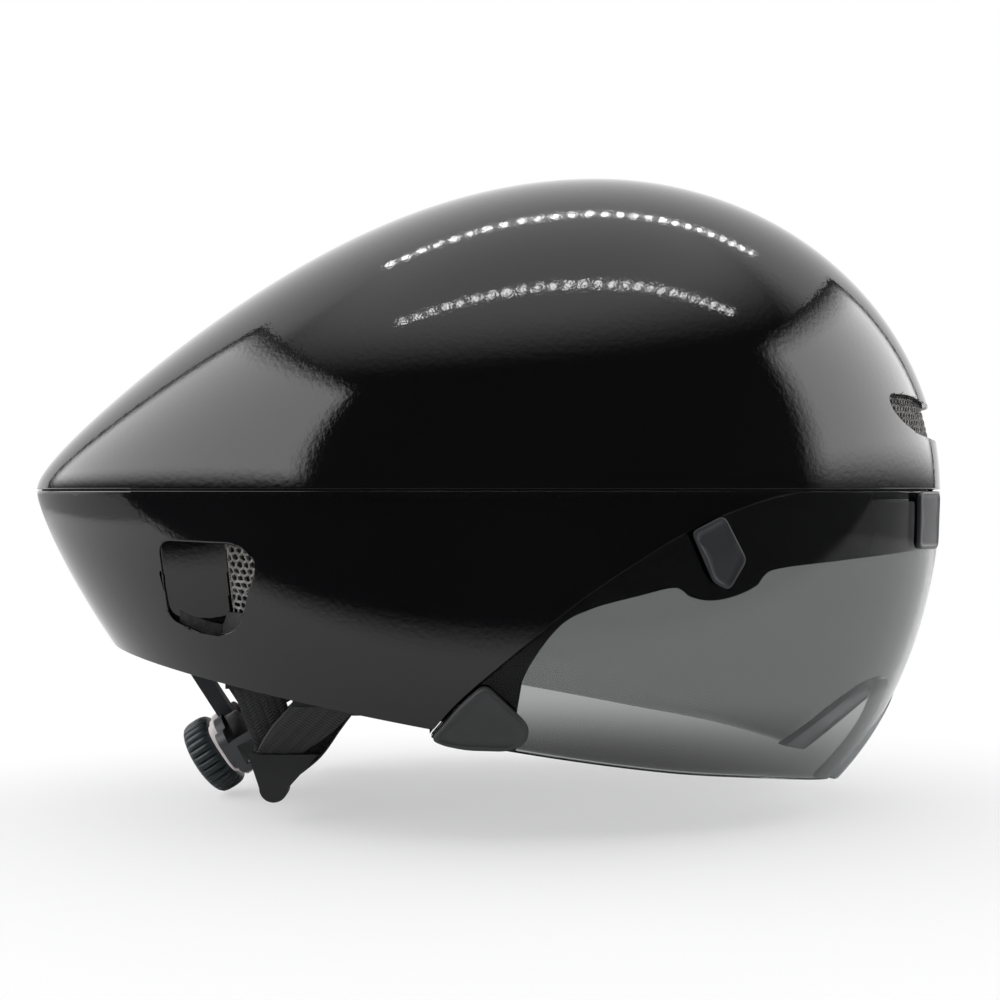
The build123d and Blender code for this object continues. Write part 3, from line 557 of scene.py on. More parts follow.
def border_plastic():
    """Opaque black with next to no shine, because the lens in front of it has its own."""
    material = plain_plastic("Border Plastic", (0.003, 0.003, 0.0035), 0.002 * MM, (0.05, 0.1))
    set_inputs(material.node_tree.nodes["Principled BSDF"], {"Specular IOR Level": 0.04})
    return material


def trim_rubber():
    """Clear soft rubber of the nose trim."""
    material = plain_plastic("Trim Rubber", (0.42, 0.44, 0.45), 0.02 * MM, (0.3, 0.45))
    set_inputs(material.node_tree.nodes["Principled BSDF"], {"Transmission Weight": 0.85, "IOR": 1.2})
    return material


def weave_group():
    """Webbing's chevron weave over a UV map in metres: the height of its threads."""
    group, entry, leave = new_group(
        "Strap Weave", {"Ribs": 420.0, "Threads": 900.0, "Slant": 1.6, "Softness": 0.4}, ["Height"])
    link = group.links.new

    def maths(operation, *terms):
        node = add_node(group, "ShaderNodeMath", operation=operation)
        for index, term in enumerate(terms):
            if isinstance(term, float):
                node.inputs[index].default_value = term
            else:
                link(term, node.inputs[index])
        return node.outputs["Value"]

    place = add_node(group, "ShaderNodeTexCoord")
    parts = add_node(group, "ShaderNodeSeparateXYZ")
    link(place.outputs["UV"], parts.inputs["Vector"])
    rib = maths("MULTIPLY", parts.outputs["X"], entry.outputs["Ribs"])
    slanted = maths("MULTIPLY", maths("PINGPONG", rib, 1.0), entry.outputs["Slant"])
    thread = maths("MULTIPLY", parts.outputs["Y"], entry.outputs["Threads"])
    ridge = maths("ABSOLUTE", maths("SINE", maths("MULTIPLY", maths("ADD", thread, slanted), math.pi)))
    groove = maths("ABSOLUTE", maths("SINE", maths("MULTIPLY", rib, math.pi)))
    soft = maths("POWER", groove, entry.outputs["Softness"])
    link(maths("MULTIPLY", ridge, soft), leave.inputs["Height"])
    return group


def webbing_material(colours):
    """Black woven webbing with a chevron weave, with painted shade in the weave's grooves and a painted
    highlight on its thread crests.
    """
    material, tree, shader = new_material("Webbing")
    weave = add_node(tree, "ShaderNodeGroup", node_tree=weave_group())
    for socket in weave.node_tree.interface.items_tree:
        if socket.in_out == "INPUT":
            weave.inputs[socket.name].default_value = socket.default_value
    add_bump(tree, weave.outputs["Height"], 0.25 * MM)
    # Painted shade and highlight: the colour runs by the weave's height from darker in the grooves to paler
    # on the crests
    tones = shade_of(colours.webbing, 0.45), shade_of(colours.webbing, 2.2)
    add_colours(tree, weave.outputs["Height"], *tones)
    set_inputs(shader, {"Roughness": 0.6, "Sheen Weight": 0.08})
    return material


def pad_material():
    """Brushed knit over foam."""
    material, tree, shader = new_material("Pad Fabric")
    add_grain(tree, 1800.0, 0.12 * MM, (0.8, 0.95), 90.0, 2.0, ((0.008, 0.008, 0.009), (0.02, 0.02, 0.022)))
    set_inputs(shader, {"Sheen Weight": 0.5})
    return material


def ramp_node(tree, low, high, to_low, to_high):
    values = {"From Min": low, "From Max": high, "To Min": to_low, "To Max": to_high}
    return add_node(tree, "ShaderNodeMapRange", values, interpolation_type="SMOOTHSTEP")


def mix_shaders(tree, share, first, second):
    mix = add_node(tree, "ShaderNodeMixShader")
    tree.links.new(share, mix.inputs["Fac"])
    tree.links.new(first, mix.inputs[1])
    tree.links.new(second, mix.inputs[2])
    return mix.outputs["Shader"]


# Shells

# Steps in the quarter turn of a rounded edge
EDGE_STEPS = 3
# Halvings that find where two halves part, and where the lens ends
PART_HALVINGS, LENS_HALVINGS = 30, 14
# Places along a turn of the edge, and points round a hole
TURN_PLACES, HOLE_POINTS = 6, 90
# Edges of a hole that are sharper than this are rounded
HOLE_DEGREES = 62
SHELL_ROWS, BORDER_ROWS = 44, 16
CROWN_SECTIONS, SKIRT_SECTIONS, LENS_SECTIONS, BORDER_SECTIONS = 190, 200, 190, 150
LEAST_LENGTH = 1e-9
# Corner radii of the vents' openings
FRONT_VENT_CORNER, REAR_VENT_CORNER = 3 * MM, 4 * MM


def vent_outline(form, shares, corner):
    return rounded(at_shares(form, shares), corner)


def line_height(line, x):
    """Height of a side view line at x, carried on straight past its ends."""
    last = len(line) - 2
    index = 0
    while index < last and line[index + 1].x < x:
        index += 1
    here, there = line[index], line[index + 1]
    return here.y + (there.y - here.y) * (x - here.x) / (there.x - here.x)


def wall_section(first, last, paces, wall, edge, joined, rows):
    """Angle and depth of the points round a shell's wall, with rounded edges unless the halves join."""
    room = (last - first) * ROOM_SHARE
    first_edge = min(edge, room * paces[0])
    last_edge = 0.0 if joined else min(edge, room * paces[1])
    start, end = first + first_edge / paces[0], last - last_edge / paces[1]

    def quarter(middle, size, pace):
        turns = [math.pi / 2 * step / EDGE_STEPS for step in range(EDGE_STEPS + 1)]
        return [(middle - size * math.cos(turn) / pace, size * (1 - math.sin(turn))) for turn in turns]

    outer = quarter(start, first_edge, paces[0])
    outer += [(start + (end - start) * row / rows, 0.0) for row in range(1, rows)]
    outer += reversed(quarter(end, last_edge, -paces[1]))
    inner = [(angle, wall - depth) for angle, depth in reversed(outer)]
    return outer + inner + outer[:1]


def close_places(places, span):
    """Adds places where the two halves part, so that the edge runs round the turn."""
    added = []
    for here, there in zip(places, places[1:]):
        if span(here)[2] == span(there)[2]:
            continue
        joined, apart = (here, there) if span(here)[2] else (there, here)
        for _ in range(PART_HALVINGS):
            middle = (joined + apart) / 2
            if span(middle)[2]:
                joined = middle
            else:
                apart = middle
        step = (there - here) * (1 if apart > joined else -1)
        added += [joined] + [apart + step * (index / TURN_PLACES) ** 2 for index in range(1, TURN_PLACES)]
    return sorted(set(places + added))


def shell_sheet(form, places, span, wall, edge, upper=False, inset=0.0, rows=SHELL_ROWS):
    """A walled shell on the form: sections at places, each between two angles from the seam, mirrored."""
    places = close_places(places, span)
    sections = []
    for x in places:
        first, last, joined = span(x)
        width, height, depth = radii(form, x, inset)
        rise = height if upper else depth
        paces = [math.hypot(width * math.sin(angle), rise * math.cos(angle)) for angle in (first, last)]
        paces = [max(LEAST_LENGTH, pace) for pace in paces]
        sections.append(wall_section(first, last, paces, wall, edge, joined, rows))
    turn = 1 if upper else -1
    count = len(sections[0]) - 1

    def place(along, across):
        column = round(along * (len(places) - 1))
        angle, depth = sections[column][round(across * count)]
        point = form_point(form, places[column], turn * angle, inset)
        return point - form_normal(form, point, inset) * depth

    bm = grid(len(places) - 1, count, place)
    middle = [face for face in bm.faces if all(abs(vert.co.y) < MERGE for vert in face.verts)]
    bmesh.ops.delete(bm, geom=middle, context="FACES")
    bmesh.ops.mirror(bm, geom=[*bm.verts, *bm.edges, *bm.faces], axis="Y", merge_dist=MERGE)
    bmesh.ops.remove_doubles(bm, verts=bm.verts, dist=MERGE)
    bmesh.ops.recalc_face_normals(bm, faces=bm.faces)
    return bm


def angle_at(form, x, z, upper=False, inset=0.0):
    """Angle from the seam at which the form's section at x reaches a height."""
    _, height, depth = radii(form, x, inset)
    rise = height if upper else depth
    return math.asin(max(0.0, min(1.0, abs(z - form.seam) / max(rise, LEAST_LENGTH))))


def cut_hole(form, piece, shares, corner):
    """Cuts a vent's outline right through a piece and rounds the hole's edges."""
    outline = even_outline(vent_outline(form, shares, corner), HOLE_POINTS)
    bm = bmesh.new()
    face = bm.faces.new([bm.verts.new((point.x, -form.width, point.y)) for point in outline])
    made = bmesh.ops.extrude_face_region(bm, geom=[face])
    moved = [item for item in made["geom"] if isinstance(item, bmesh.types.BMVert)]
    bmesh.ops.translate(bm, verts=moved, vec=(0, form.width * 2, 0))
    bmesh.ops.recalc_face_normals(bm, faces=bm.faces)
    cutter = to_object(bm, "cutter")
    hole = piece.modifiers.new("Hole", "BOOLEAN")
    hole.operation = "DIFFERENCE"
    hole.solver = "EXACT"
    hole.object = cutter
    bevel_edges(piece, form.edge, HOLE_DEGREES).use_clamp_overlap = False
    freeze(piece)
    bpy.data.objects.remove(cutter)


def even_outline(outline, count):
    """A closed outline as evenly spaced points."""
    runs = [0.0]
    for index in range(len(outline)):
        runs.append(runs[-1] + (outline[(index + 1) % len(outline)] - outline[index]).length)
    points = []
    index = 0
    for step in range(count):
        reach = runs[-1] * step / count
        while runs[index + 1] < reach:
            index += 1
        run = max(LEAST_LENGTH, runs[index + 1] - runs[index])
        share = (reach - runs[index]) / run
        points.append(outline[index].lerp(outline[(index + 1) % len(outline)], share))
    return points


def make_crown(form, colours):
    half = form.length / 2
    places = [-half * math.cos(math.pi * step / CROWN_SECTIONS) for step in range(CROWN_SECTIONS + 1)]

    def span(x):
        return angle_at(form, x, form.seam + form.seam_gap / 2, True), math.pi / 2, True

    bm = shell_sheet(form, places, span, form.wall, form.edge, True)
    piece = to_object(bm, "crown")
    cut_hole(form, piece, FRONT_VENT_SHARES, FRONT_VENT_CORNER)
    polish(form, piece)
    finish_piece(piece, "shell", "shell_gloss", gloss_paint(colours), "crown_shell")


def rim_height(form, x):
    return form.seam - form.rim_drop - form.rim_slope * x


def visor_line(form, gap=0.0):
    """The visor's rear edge in the side view, from the hem up to the seam, moved forward by a gap."""
    line = smooth_line(at_shares(form, VISOR_LINE_SHARES))
    return [point + Vector((gap, 0)) for point in reversed(line)]


# How far the skirt's last section stays behind the visor line's front end
SKIRT_END = 0.5 * MM


def make_skirt(form, colours):
    line = visor_line(form)
    half = form.length / 2
    reach = line[-1].x + half
    turns = [math.pi / 2 * step / SKIRT_SECTIONS for step in range(SKIRT_SECTIONS)]
    places = [-half + reach * (1 - math.cos(turn)) for turn in turns]
    places = sorted(places + [line[0].x, line[-1].x - SKIRT_END])

    def span(x):
        low = rim_height(form, x)
        if x > line[0].x:
            low = max(low, line_height(line, x))
        first = angle_at(form, x, form.seam - form.seam_gap / 2)
        last = max(first, angle_at(form, x, low))
        return first, last, last >= math.pi / 2

    bm = shell_sheet(form, places, span, form.wall, form.edge)
    piece = to_object(bm, "skirt")
    cut_hole(form, piece, REAR_VENT_SHARES, REAR_VENT_CORNER)
    polish(form, piece)
    finish_piece(piece, "shell", "shell_gloss", gloss_paint(colours), "skirt_shell")


# Visor

# Steps of the nose notch's arch, and the power that makes its shoulders a little square
ARCH_STEPS, ARCH_POWER = 24, 0.9
# Steps down a section of the lens in the search for its end
HEM_STEPS = 90
# How far the border ends over the lens's hem, and the length of the step in its lower edge
BORDER_STEP = 0.3 * MM


def nose_outline(form):
    """Closed front view outline of the nose notch."""
    half = form.nose_half_width
    top = form.seam - form.nose_rise
    foot = form.seam - form.depth
    knee = (top - foot) / 2
    arch = []
    for step in range(ARCH_STEPS + 1):
        angle = math.pi * step / ARCH_STEPS
        rise = (top - foot - knee) * math.sin(angle) ** ARCH_POWER
        arch.append(Vector((-half * math.cos(angle), foot + knee + rise)))
    return [Vector((-half, foot * 2 - top)), *arch, Vector((half, foot * 2 - top))]


def lens_hem(form):
    return smooth_line(at_shares(form, LENS_HEM_SHARES))


def visor_top(form, line, x):
    """The visor's upper edge at x: under the seam, and further back under its rear edge."""
    top = form.seam - form.seam_gap
    return min(top, line_height(line, x)) if x < line[-1].x else top


def visor_places(start, end, count):
    return [start + (end - start) * math.sin(math.pi / 2 * step / count) for step in range(count + 1)]


def make_lens(form, colours):
    hem = lens_hem(form)
    line = visor_line(form, form.visor_gap)
    notch = nose_outline(form)

    def kept(x, angle):
        point = form_point(form, x, -angle)
        return point.z > line_height(hem, x) and not (x > 0 and inside(Vector((point.y, point.z)), notch))

    def span(x):
        first = angle_at(form, x, visor_top(form, line, x))
        near = first
        for step in range(HEM_STEPS + 1):
            angle = first + (math.pi / 2 - first) * step / HEM_STEPS
            if not kept(x, angle):
                for _ in range(LENS_HALVINGS):
                    middle = (near + angle) / 2
                    if kept(x, middle):
                        near = middle
                    else:
                        angle = middle
                return first, near, False
            near = angle
        return first, math.pi / 2, True

    places = visor_places(line[0].x, form.length / 2, LENS_SECTIONS)
    bm = shell_sheet(form, places, span, form.wall, form.lens_edge)
    piece = to_object(bm, "lens")
    polish(form, piece)
    finish_piece(piece, "visor", "lens_smoke", smoke_lens(colours), "visor_lens")


def make_border(form):
    """Opaque border bonded behind the lens, over the clear part."""
    inset = form.wall + form.bond_gap
    mask = smooth_line(at_shares(form, MASK_LINE_SHARES))
    line = visor_line(form, form.visor_gap * 2)
    hem = lens_hem(form)
    step_x = mask[0].x
    places = visor_places(line[0].x, form.length / 2 - inset, BORDER_SECTIONS)
    places = sorted(places + [step_x - BORDER_STEP, step_x])

    def span(x):
        low = line_height(mask, x) if x >= step_x else line_height(hem, x) + BORDER_STEP
        first = angle_at(form, x, visor_top(form, line, x), False, inset)
        last = max(first, angle_at(form, x, low, False, inset))
        return first, last, last >= math.pi / 2

    bm = shell_sheet(form, places, span, form.border_wall, form.border_edge, False, inset, BORDER_ROWS)
    piece = to_object(bm, "lens_border")
    polish(form, piece, inset)
    finish_piece(piece, "visor", "frame_gloss", border_plastic(), "visor_frame")


TAB_POINTS = 84
# Rounding of a tab's outer edge, as a share of its height
TAB_EDGE_SHARE = 0.4
# Gap between a tab and the lens, and depth of the tab's face under its rim
TAB_GAP, TAB_SINK = 0.05 * MM, 0.3 * MM


def make_tab(form, node, shares, side, sizes, material, slot):
    """A raised tab with a rounded rim round a slightly sunken face."""
    proud, corner, rim = sizes
    count = TAB_POINTS
    outline = even_outline(rounded(at_shares(form, shares), corner), count)
    centre = sum(outline, Vector((0, 0))) / count
    round_edge = proud * TAB_EDGE_SHARE
    face = proud - TAB_SINK
    # Distance in from the edge, and height over the lens
    rings = [
        (form.length, TAB_GAP), (round_edge, TAB_GAP), (0.0, TAB_GAP), (0.0, proud - round_edge),
        (round_edge * 0.3, proud - round_edge * 0.3), (round_edge, proud), (rim, proud),
        (rim + 0.25 * MM, proud - TAB_SINK / 3), (rim + 0.5 * MM, face), (rim * 2 + 1 * MM, face),
        (rim * 3 + 2 * MM, face), (form.length, face),
    ]

    def place(along, across):
        edge = outline[round(along * count) % count]
        inward, height = rings[round(across * (len(rings) - 1))]
        spoke = centre - edge
        spot = edge + spoke.normalized() * min(inward, spoke.length)
        point = side_point(form, spot.x, spot.y, side)
        return point + form_normal(form, point) * height

    bm = grid(count, len(rings) - 1, place)
    bmesh.ops.recalc_face_normals(bm, faces=bm.faces)
    piece = to_object(bm, "visor_" + node)
    shade(piece, degrees=50)
    finish_piece(piece, "visor", slot, material, node)


# Vents

def edge_distance(point, outline):
    """Distance of a 2-D point from a closed outline, above zero inside it."""
    nearest = 1.0
    last = outline[-1]
    for here in outline:
        run = here - last
        if run.length_squared > 0:
            share = max(0.0, min(1.0, (point - last).dot(run) / run.length_squared))
            nearest = min(nearest, (last + run * share - point).length)
        last = here
    return nearest if inside(point, outline) else -nearest


# Shares of a cell: how close corners merge, the size of the noise that shifts them, and how far it does
CELL_MERGE, CELL_NOISE, CELL_SHIFT = 0.1, 0.7, 0.24
# With its seed set, the noise is the same in each run
NOISE_SEED = 1


def honeycomb(width, height, cell, web, keep, place):
    """Irregular open cells: a jittered honeycomb, cut open and put where place says."""
    bm = bmesh.new()
    step = cell * math.sqrt(3) / 2
    columns, rows = int(width / cell) + 2, int(height / step) + 2
    for row in range(rows):
        for column in range(columns):
            x = (column + row % 2 / 2) * cell - width / 2 - cell / 2
            z = row * step - height / 2 - step / 2
            bmesh.ops.create_circle(bm, cap_ends=True, segments=6, radius=cell / math.sqrt(3),
                                    matrix=Matrix.Translation((x, z, 0)))
    bmesh.ops.remove_doubles(bm, verts=bm.verts, dist=cell * CELL_MERGE)
    noise.seed_set(NOISE_SEED)
    for vert in bm.verts:
        shift = noise.noise_vector(vert.co / (cell * CELL_NOISE)) * cell * CELL_SHIFT
        vert.co += Vector((shift.x, shift.y, 0))
    gone = [face for face in bm.faces if not keep(face.calc_center_median())]
    bmesh.ops.delete(bm, geom=gone, context="FACES")
    for vert in bm.verts:
        vert.co = place(vert.co)
    cells = list(bm.faces)
    bmesh.ops.inset_individual(bm, faces=cells, thickness=web / 2, use_even_offset=True)
    bmesh.ops.delete(bm, geom=cells, context="FACES")
    return bm


def finish_vent(bm, form, name, wall, slot, material, node):
    """Turns a sheet inside a vent into its piece, with its wall behind it."""
    face_outwards(bm, Vector((0, 0, form.seam)))
    piece = to_object(bm, name)
    thicken(piece, wall)
    freeze(piece)
    shade(piece)
    finish_piece(piece, "shell", slot, material, node)


# Share of a rear vent's length at which its floor is deepest, and how much further on the mesh starts
DEEPEST_SHARE, MESH_SHARE = 0.6, 0.04
# How much of its depth the floor loses from there to the vent's front end
FLOOR_RISE_SHARE = 0.5
LEAST_DEPTH = 0.35 * MM
# The floor's depth at the top, as a share of its depth at the bottom
TOP_DEPTH_SHARE = 0.6
# How far the vents' insides reach past the openings
VENT_MARGIN = 1.6 * MM
POCKET_COLUMNS, POCKET_ROWS = 90, 76
# How far the floor runs on under the mesh, and the mesh back over the floor
FLOOR_LAP, MESH_LAP = 1.2 * MM, 0.2 * MM
# How far the mesh stands over the floor
MESH_LIFT = 0.5 * MM


def scoop_depth_at(fit, low, high, x, z):
    """Depth of a rear vent's floor: a ramp in from the tail side, then out along the mesh."""
    along = max(0.0, min(1.0, (x - low.x) / (high.x - low.x)))
    if along < DEEPEST_SHARE:
        ramp = along / DEEPEST_SHARE
    else:
        ramp = 1 - FLOOR_RISE_SHARE * (along - DEEPEST_SHARE) / (1 - DEEPEST_SHARE)
    down = max(0.0, min(1.0, (high.y - z) / (high.y - low.y)))
    slant = TOP_DEPTH_SHARE + (1 - TOP_DEPTH_SHARE) * down
    return LEAST_DEPTH + (fit.scoop_depth - LEAST_DEPTH) * ramp * slant


def make_rear_vent(form, fit, word, side, paint, mesh_material):
    """Pocket with its sloping floor, and the cell mesh across its front end."""
    outline = vent_outline(form, REAR_VENT_SHARES, REAR_VENT_CORNER)
    low = Vector((min(point.x for point in outline), min(point.y for point in outline)))
    high = Vector((max(point.x for point in outline), max(point.y for point in outline)))
    long, tall = high.x - low.x, high.y - low.y
    centre_x, centre_z = (low.x + high.x) / 2, (low.y + high.y) / 2
    start = low.x + long * (DEEPEST_SHARE + MESH_SHARE)

    def sink(x, z, lift=0.0):
        depth = scoop_depth_at(fit, low, high, x, z) - lift
        point = side_point(form, x, z, side)
        return point - form_normal(form, point) * depth

    def place(along, across):
        x = low.x - VENT_MARGIN + (long + 2 * VENT_MARGIN) * along
        z = low.y - VENT_MARGIN + (tall + 2 * VENT_MARGIN) * across
        return sink(x, z)

    bm = grid(POCKET_COLUMNS, POCKET_ROWS, place)
    gone = []
    for face in bm.faces:
        spot = face.calc_center_median()
        gap = edge_distance(Vector((spot.x, spot.z)), outline)
        if gap < -VENT_MARGIN or spot.x > start + FLOOR_LAP:
            gone.append(face)
    bmesh.ops.delete(bm, geom=gone, context="FACES")
    finish_vent(bm, form, f"rear_vent_pocket_{word}", fit.scoop_wall, "scoop_plastic", paint,
                f"vent_scoop_{word}")

    def keep(point):
        x, z = point.x + centre_x, point.y + centre_z
        return x > start - fit.cell / 2 and edge_distance(Vector((x, z)), outline) > -VENT_MARGIN

    def lie(point):
        return sink(max(start - MESH_LAP, point.x + centre_x), point.y + centre_z, MESH_LIFT)

    bm = honeycomb(long, tall, fit.cell, fit.web, keep, lie)
    finish_vent(bm, form, f"rear_vent_cells_{word}", fit.mesh_wall, "vent_mesh", mesh_material,
                f"rear_vent_mesh_{word}")


# Middle and radius of the round that the front mesh is laid out on, as shares of the length, and its arc
BROW_MIDDLE_SHARE, BROW_RADIUS_SHARE, BROW_ARC = 0.2, 0.3, 2.4
BROW_HALVINGS = 24
# Gap between the crown's inside and the front mesh
BROW_GAP = 0.7 * MM


def make_front_vent(form, fit, mesh_material):
    """Cell mesh behind the slot round the brow."""
    outline = vent_outline(form, FRONT_VENT_SHARES, FRONT_VENT_CORNER)
    low_z, high_z = min(point.y for point in outline), max(point.y for point in outline)
    centre_x, radius = form.length * BROW_MIDDLE_SHARE, form.length * BROW_RADIUS_SHARE
    sink = form.wall + BROW_GAP

    def lie(point):
        angle, z = point.x / radius, point.y + (low_z + high_z) / 2
        near, far = 0.0, form.length / 2
        for _ in range(BROW_HALVINGS):
            middle = (near + far) / 2
            trial = Vector((centre_x + middle * math.cos(angle), middle * math.sin(angle), z))
            if trial.x < form.length / 2 - sink and form_level(form, trial, sink) < 1:
                near = middle
            else:
                far = middle
        return Vector((centre_x + near * math.cos(angle), near * math.sin(angle), z))

    def keep(point):
        place = lie(point)
        return edge_distance(Vector((place.x, place.z)), outline) > -VENT_MARGIN

    bm = honeycomb(radius * BROW_ARC, high_z - low_z + 3 * fit.cell, fit.cell, fit.web, keep, lie)
    finish_vent(bm, form, "front_vent_cells", fit.mesh_wall, "vent_mesh", mesh_material, "front_vent_mesh")


# Straps and fit bands

def ribbon(name, stations, wall, edge, run_steps, across_steps, bulge=0.0):
    """A strap through stations, each a centre, half its width and the way it faces, with a flat UV map."""
    line, halves, outs = [smooth_line(points, run_steps) for points in zip(*stations)]
    runs = [0.0]
    for here, there in zip(line, line[1:]):
        runs.append(runs[-1] + (there - here).length)
    bm = bmesh.new()
    bmesh.ops.create_grid(bm, x_segments=len(line) - 1, y_segments=across_steps, size=0.5)
    layer = bm.loops.layers.uv.new("UVMap")
    for vert in bm.verts:
        index = round((vert.co.x + 0.5) * (len(line) - 1))
        share = vert.co.y * 2
        for loop in vert.link_loops:
            loop[layer].uv = (share * halves[index].length, runs[index])
        rise = bulge * (1 - share * share)
        vert.co = line[index] + halves[index] * share + outs[index].normalized() * rise
    piece = to_object(bm, name)
    thicken(piece, wall, offset=0.0)
    bevel_edges(piece, edge, degrees=60)
    freeze(piece)
    bm = bmesh.new()
    bm.from_mesh(piece.data)
    bmesh.ops.recalc_face_normals(bm, faces=bm.faces)
    bm.to_mesh(piece.data)
    bm.free()
    shade(piece)
    return piece, runs[-1]


# Each leg's distance from the middle of the divider's slot
LAYER_STEP = 1.1 * MM
# Share of the slot's depth that a leg reaches into it
SLOT_SHARE = 0.96
STRAP_SAG = 0.6 * MM
# How much narrower half the webbing is at the top, the middle, the divider and the foot of a leg
STRAP_TRIMS = [0.2 * MM, 0.5 * MM, 0.7 * MM, 2.6 * MM]
STRAP_BULGE, CHIN_BULGE = 0.2 * MM, 0.3 * MM
SLANT_ROUNDS = 8


def side_strap(fit, which, word, side, layer, material):
    """One leg of the V, from its anchor in the foam down into the divider."""
    low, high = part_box(f"{which}_strap_{word}")
    divider_low, divider_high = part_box(f"strap_divider_{word}")
    knee_z = divider_high.z
    divider_y = (divider_low.y + divider_high.y) / 2
    y = divider_y + side * layer * LAYER_STEP
    out_y = low.y if side < 0 else high.y
    top_y = out_y - side * fit.strap_wall / 2
    wide = fit.strap_width / 2
    run_x = (high.x if which == "front" else low.x) - fit.slot_x
    rise = high.z - knee_z
    reach = abs(run_x)
    for _ in range(SLANT_ROUNDS):
        reach = abs(run_x) - wide / math.cos(math.atan2(reach, rise))
    slanted = wide / math.cos(math.atan2(reach, rise))
    top = Vector((fit.slot_x + math.copysign(reach, run_x), top_y, high.z))
    knee = Vector((fit.slot_x, y, knee_z))
    foot = Vector((fit.slot_x, y, knee_z - fit.slot_depth * SLOT_SHARE))
    face = Vector((0, side, 0))
    middle = (top + knee) / 2 + face * STRAP_SAG
    spots = zip([top, middle, knee, foot], [slanted, slanted, wide, wide], STRAP_TRIMS)
    stations = [(spot, Vector((half - trim, 0, 0)), face) for spot, half, trim in spots]
    piece, length = ribbon(f"{which}_webbing_{word}", stations, fit.strap_wall, fit.strap_edge, 12, 8,
                           STRAP_BULGE)
    finish_piece(piece, "shell", "webbing", material, f"{which}_strap_{word}")


# How far behind the divider's middle the chin strap leaves it, and at what height
CHIN_BEHIND, CHIN_HEIGHT = 3.0 * MM, 12.0 * MM
# Half width at the divider, as a share of the webbing's, and how much narrower it is further on
CHIN_GATHER, CHIN_TRIM = 0.54, 0.3 * MM
# Share of the way, and sag, of the two middle stations
CHIN_SAGS = [(0.35, 0.8 * MM), (0.7, 0.3 * MM)]


def chin_webbing(fit, word, side, material):
    """The strap from the divider's inner face to the buckle, gathered at the divider."""
    buckle = "buckle_socket" if side < 0 else "buckle_clip"
    buckle_low, buckle_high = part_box(buckle)
    divider_low, divider_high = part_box(f"strap_divider_{word}")
    divider_x = (divider_low.x + divider_high.x) / 2 - CHIN_BEHIND
    inner_y = divider_high.y if side < 0 else divider_low.y
    start = Vector((divider_x, inner_y - side * fit.strap_wall / 2, CHIN_HEIGHT))
    end = Vector(((buckle_low.x + buckle_high.x) / 2, buckle_low.y if side < 0 else buckle_high.y,
                  (buckle_low.z + buckle_high.z) / 2))
    face = Vector((0, side, 1)).normalized()
    wide = fit.strap_width / 2
    half = Vector((wide - CHIN_TRIM, 0, 0))
    stations = [(start, Vector((wide * CHIN_GATHER, 0, 0)), Vector((0, side, 0.6)))]
    stations += [(start.lerp(end, share) - Vector((0, 0, sag)), half, face) for share, sag in CHIN_SAGS]
    stations.append((end, half, Vector((0, side * 0.4, 1))))
    piece, length = ribbon(f"chin_webbing_{word}", stations, fit.strap_wall, fit.strap_edge, 10, 8,
                           CHIN_BULGE)
    finish_piece(piece, "shell", "webbing", material, f"chin_strap_{word}")
    if side > 0:
        release_piece(piece)
        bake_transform(piece)


def release_piece(piece):
    """Takes a piece off its body."""
    piece.parent = None
    if "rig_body" in piece:
        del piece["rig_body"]


# The bands lie round an ellipse: half its length and width, and its middle along X
BAND_HALF_LENGTH, BAND_HALF_WIDTH, BAND_MIDDLE = 95.0 * MM, 75.0 * MM, 9.5 * MM
# Place along X and height of the bands' bends behind the first one, which is measured from the band's box
BAND_BENDS = [
    (-35.0 * MM, 54.5 * MM), (-48.0 * MM, 45.0 * MM), (-57.0 * MM, 37.5 * MM), (-64.0 * MM, 31.3 * MM),
]
FIRST_BEND_X, FIRST_BEND_DROP = -20.0 * MM, 10.5 * MM
# The guide loop's middle on the left, and the band's height in it as a share
LOOP_MIDDLE, LOOP_SHARE = Vector((-73.2 * MM, 42.5 * MM, 22.8 * MM)), 0.84


def make_fit_band(fit, word, side, material):
    """Flexible band from the temple anchor round the nape into its guide loop."""
    low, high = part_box(f"fit_band_{word}")
    reach_y = max(abs(low.y), abs(high.y)) - fit.band_wall / 2
    front_z = high.z - fit.band_height / 2
    stations = []
    for x, z in [(high.x, front_z), (FIRST_BEND_X, front_z - FIRST_BEND_DROP), *BAND_BENDS]:
        share = (x - BAND_MIDDLE) / BAND_HALF_LENGTH
        y = side * reach_y * math.sqrt(1 - share * share)
        out = Vector((share / BAND_HALF_LENGTH, y / (BAND_HALF_WIDTH * BAND_HALF_WIDTH), 0)).normalized()
        stations.append((Vector((x, y, z)), Vector((0, 0, fit.band_height / 2)), out))
    loop = Vector((LOOP_MIDDLE.x, side * LOOP_MIDDLE.y, LOOP_MIDDLE.z))
    upright = Vector((0.3, 0, 1)).normalized() * fit.band_height / 2
    stations.append((loop, upright * LOOP_SHARE, Vector((-0.4, side, 0))))
    piece = ribbon(f"nape_band_{word}", stations, fit.band_wall, fit.band_edge, 8, 4)[0]
    finish_piece(piece, "shell", "band_plastic", material, f"fit_band_{word}")
    release_piece(piece)
    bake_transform(piece)


# Fit dial

KNOB_STEPS_PER_RIB, CAP_STEPS = 10, 72
# Below one this power gives the ribs broad crests and narrow grooves
RIB_POWER = 0.6
# The housing's corner curves start this much further out than their radius
CORNER_REACH, CORNER_STEPS = 1.25, 8
# Gap between the knob and its housing, in mm
HOUSING_GAP = 0.4


def dial_matrix():
    """Places a point by its side, its height and its way out of the dial's face."""
    joint = next(item for item in frame["joints"] if item["name"] == "knob_turn")
    out = Vector(joint["axis"]).normalized()
    across = Vector((0, 1, 0))
    up = across.cross(out)
    matrix = Matrix((across, up, out)).transposed().to_4x4()
    matrix.translation = Vector(joint["pos_m"])
    return matrix


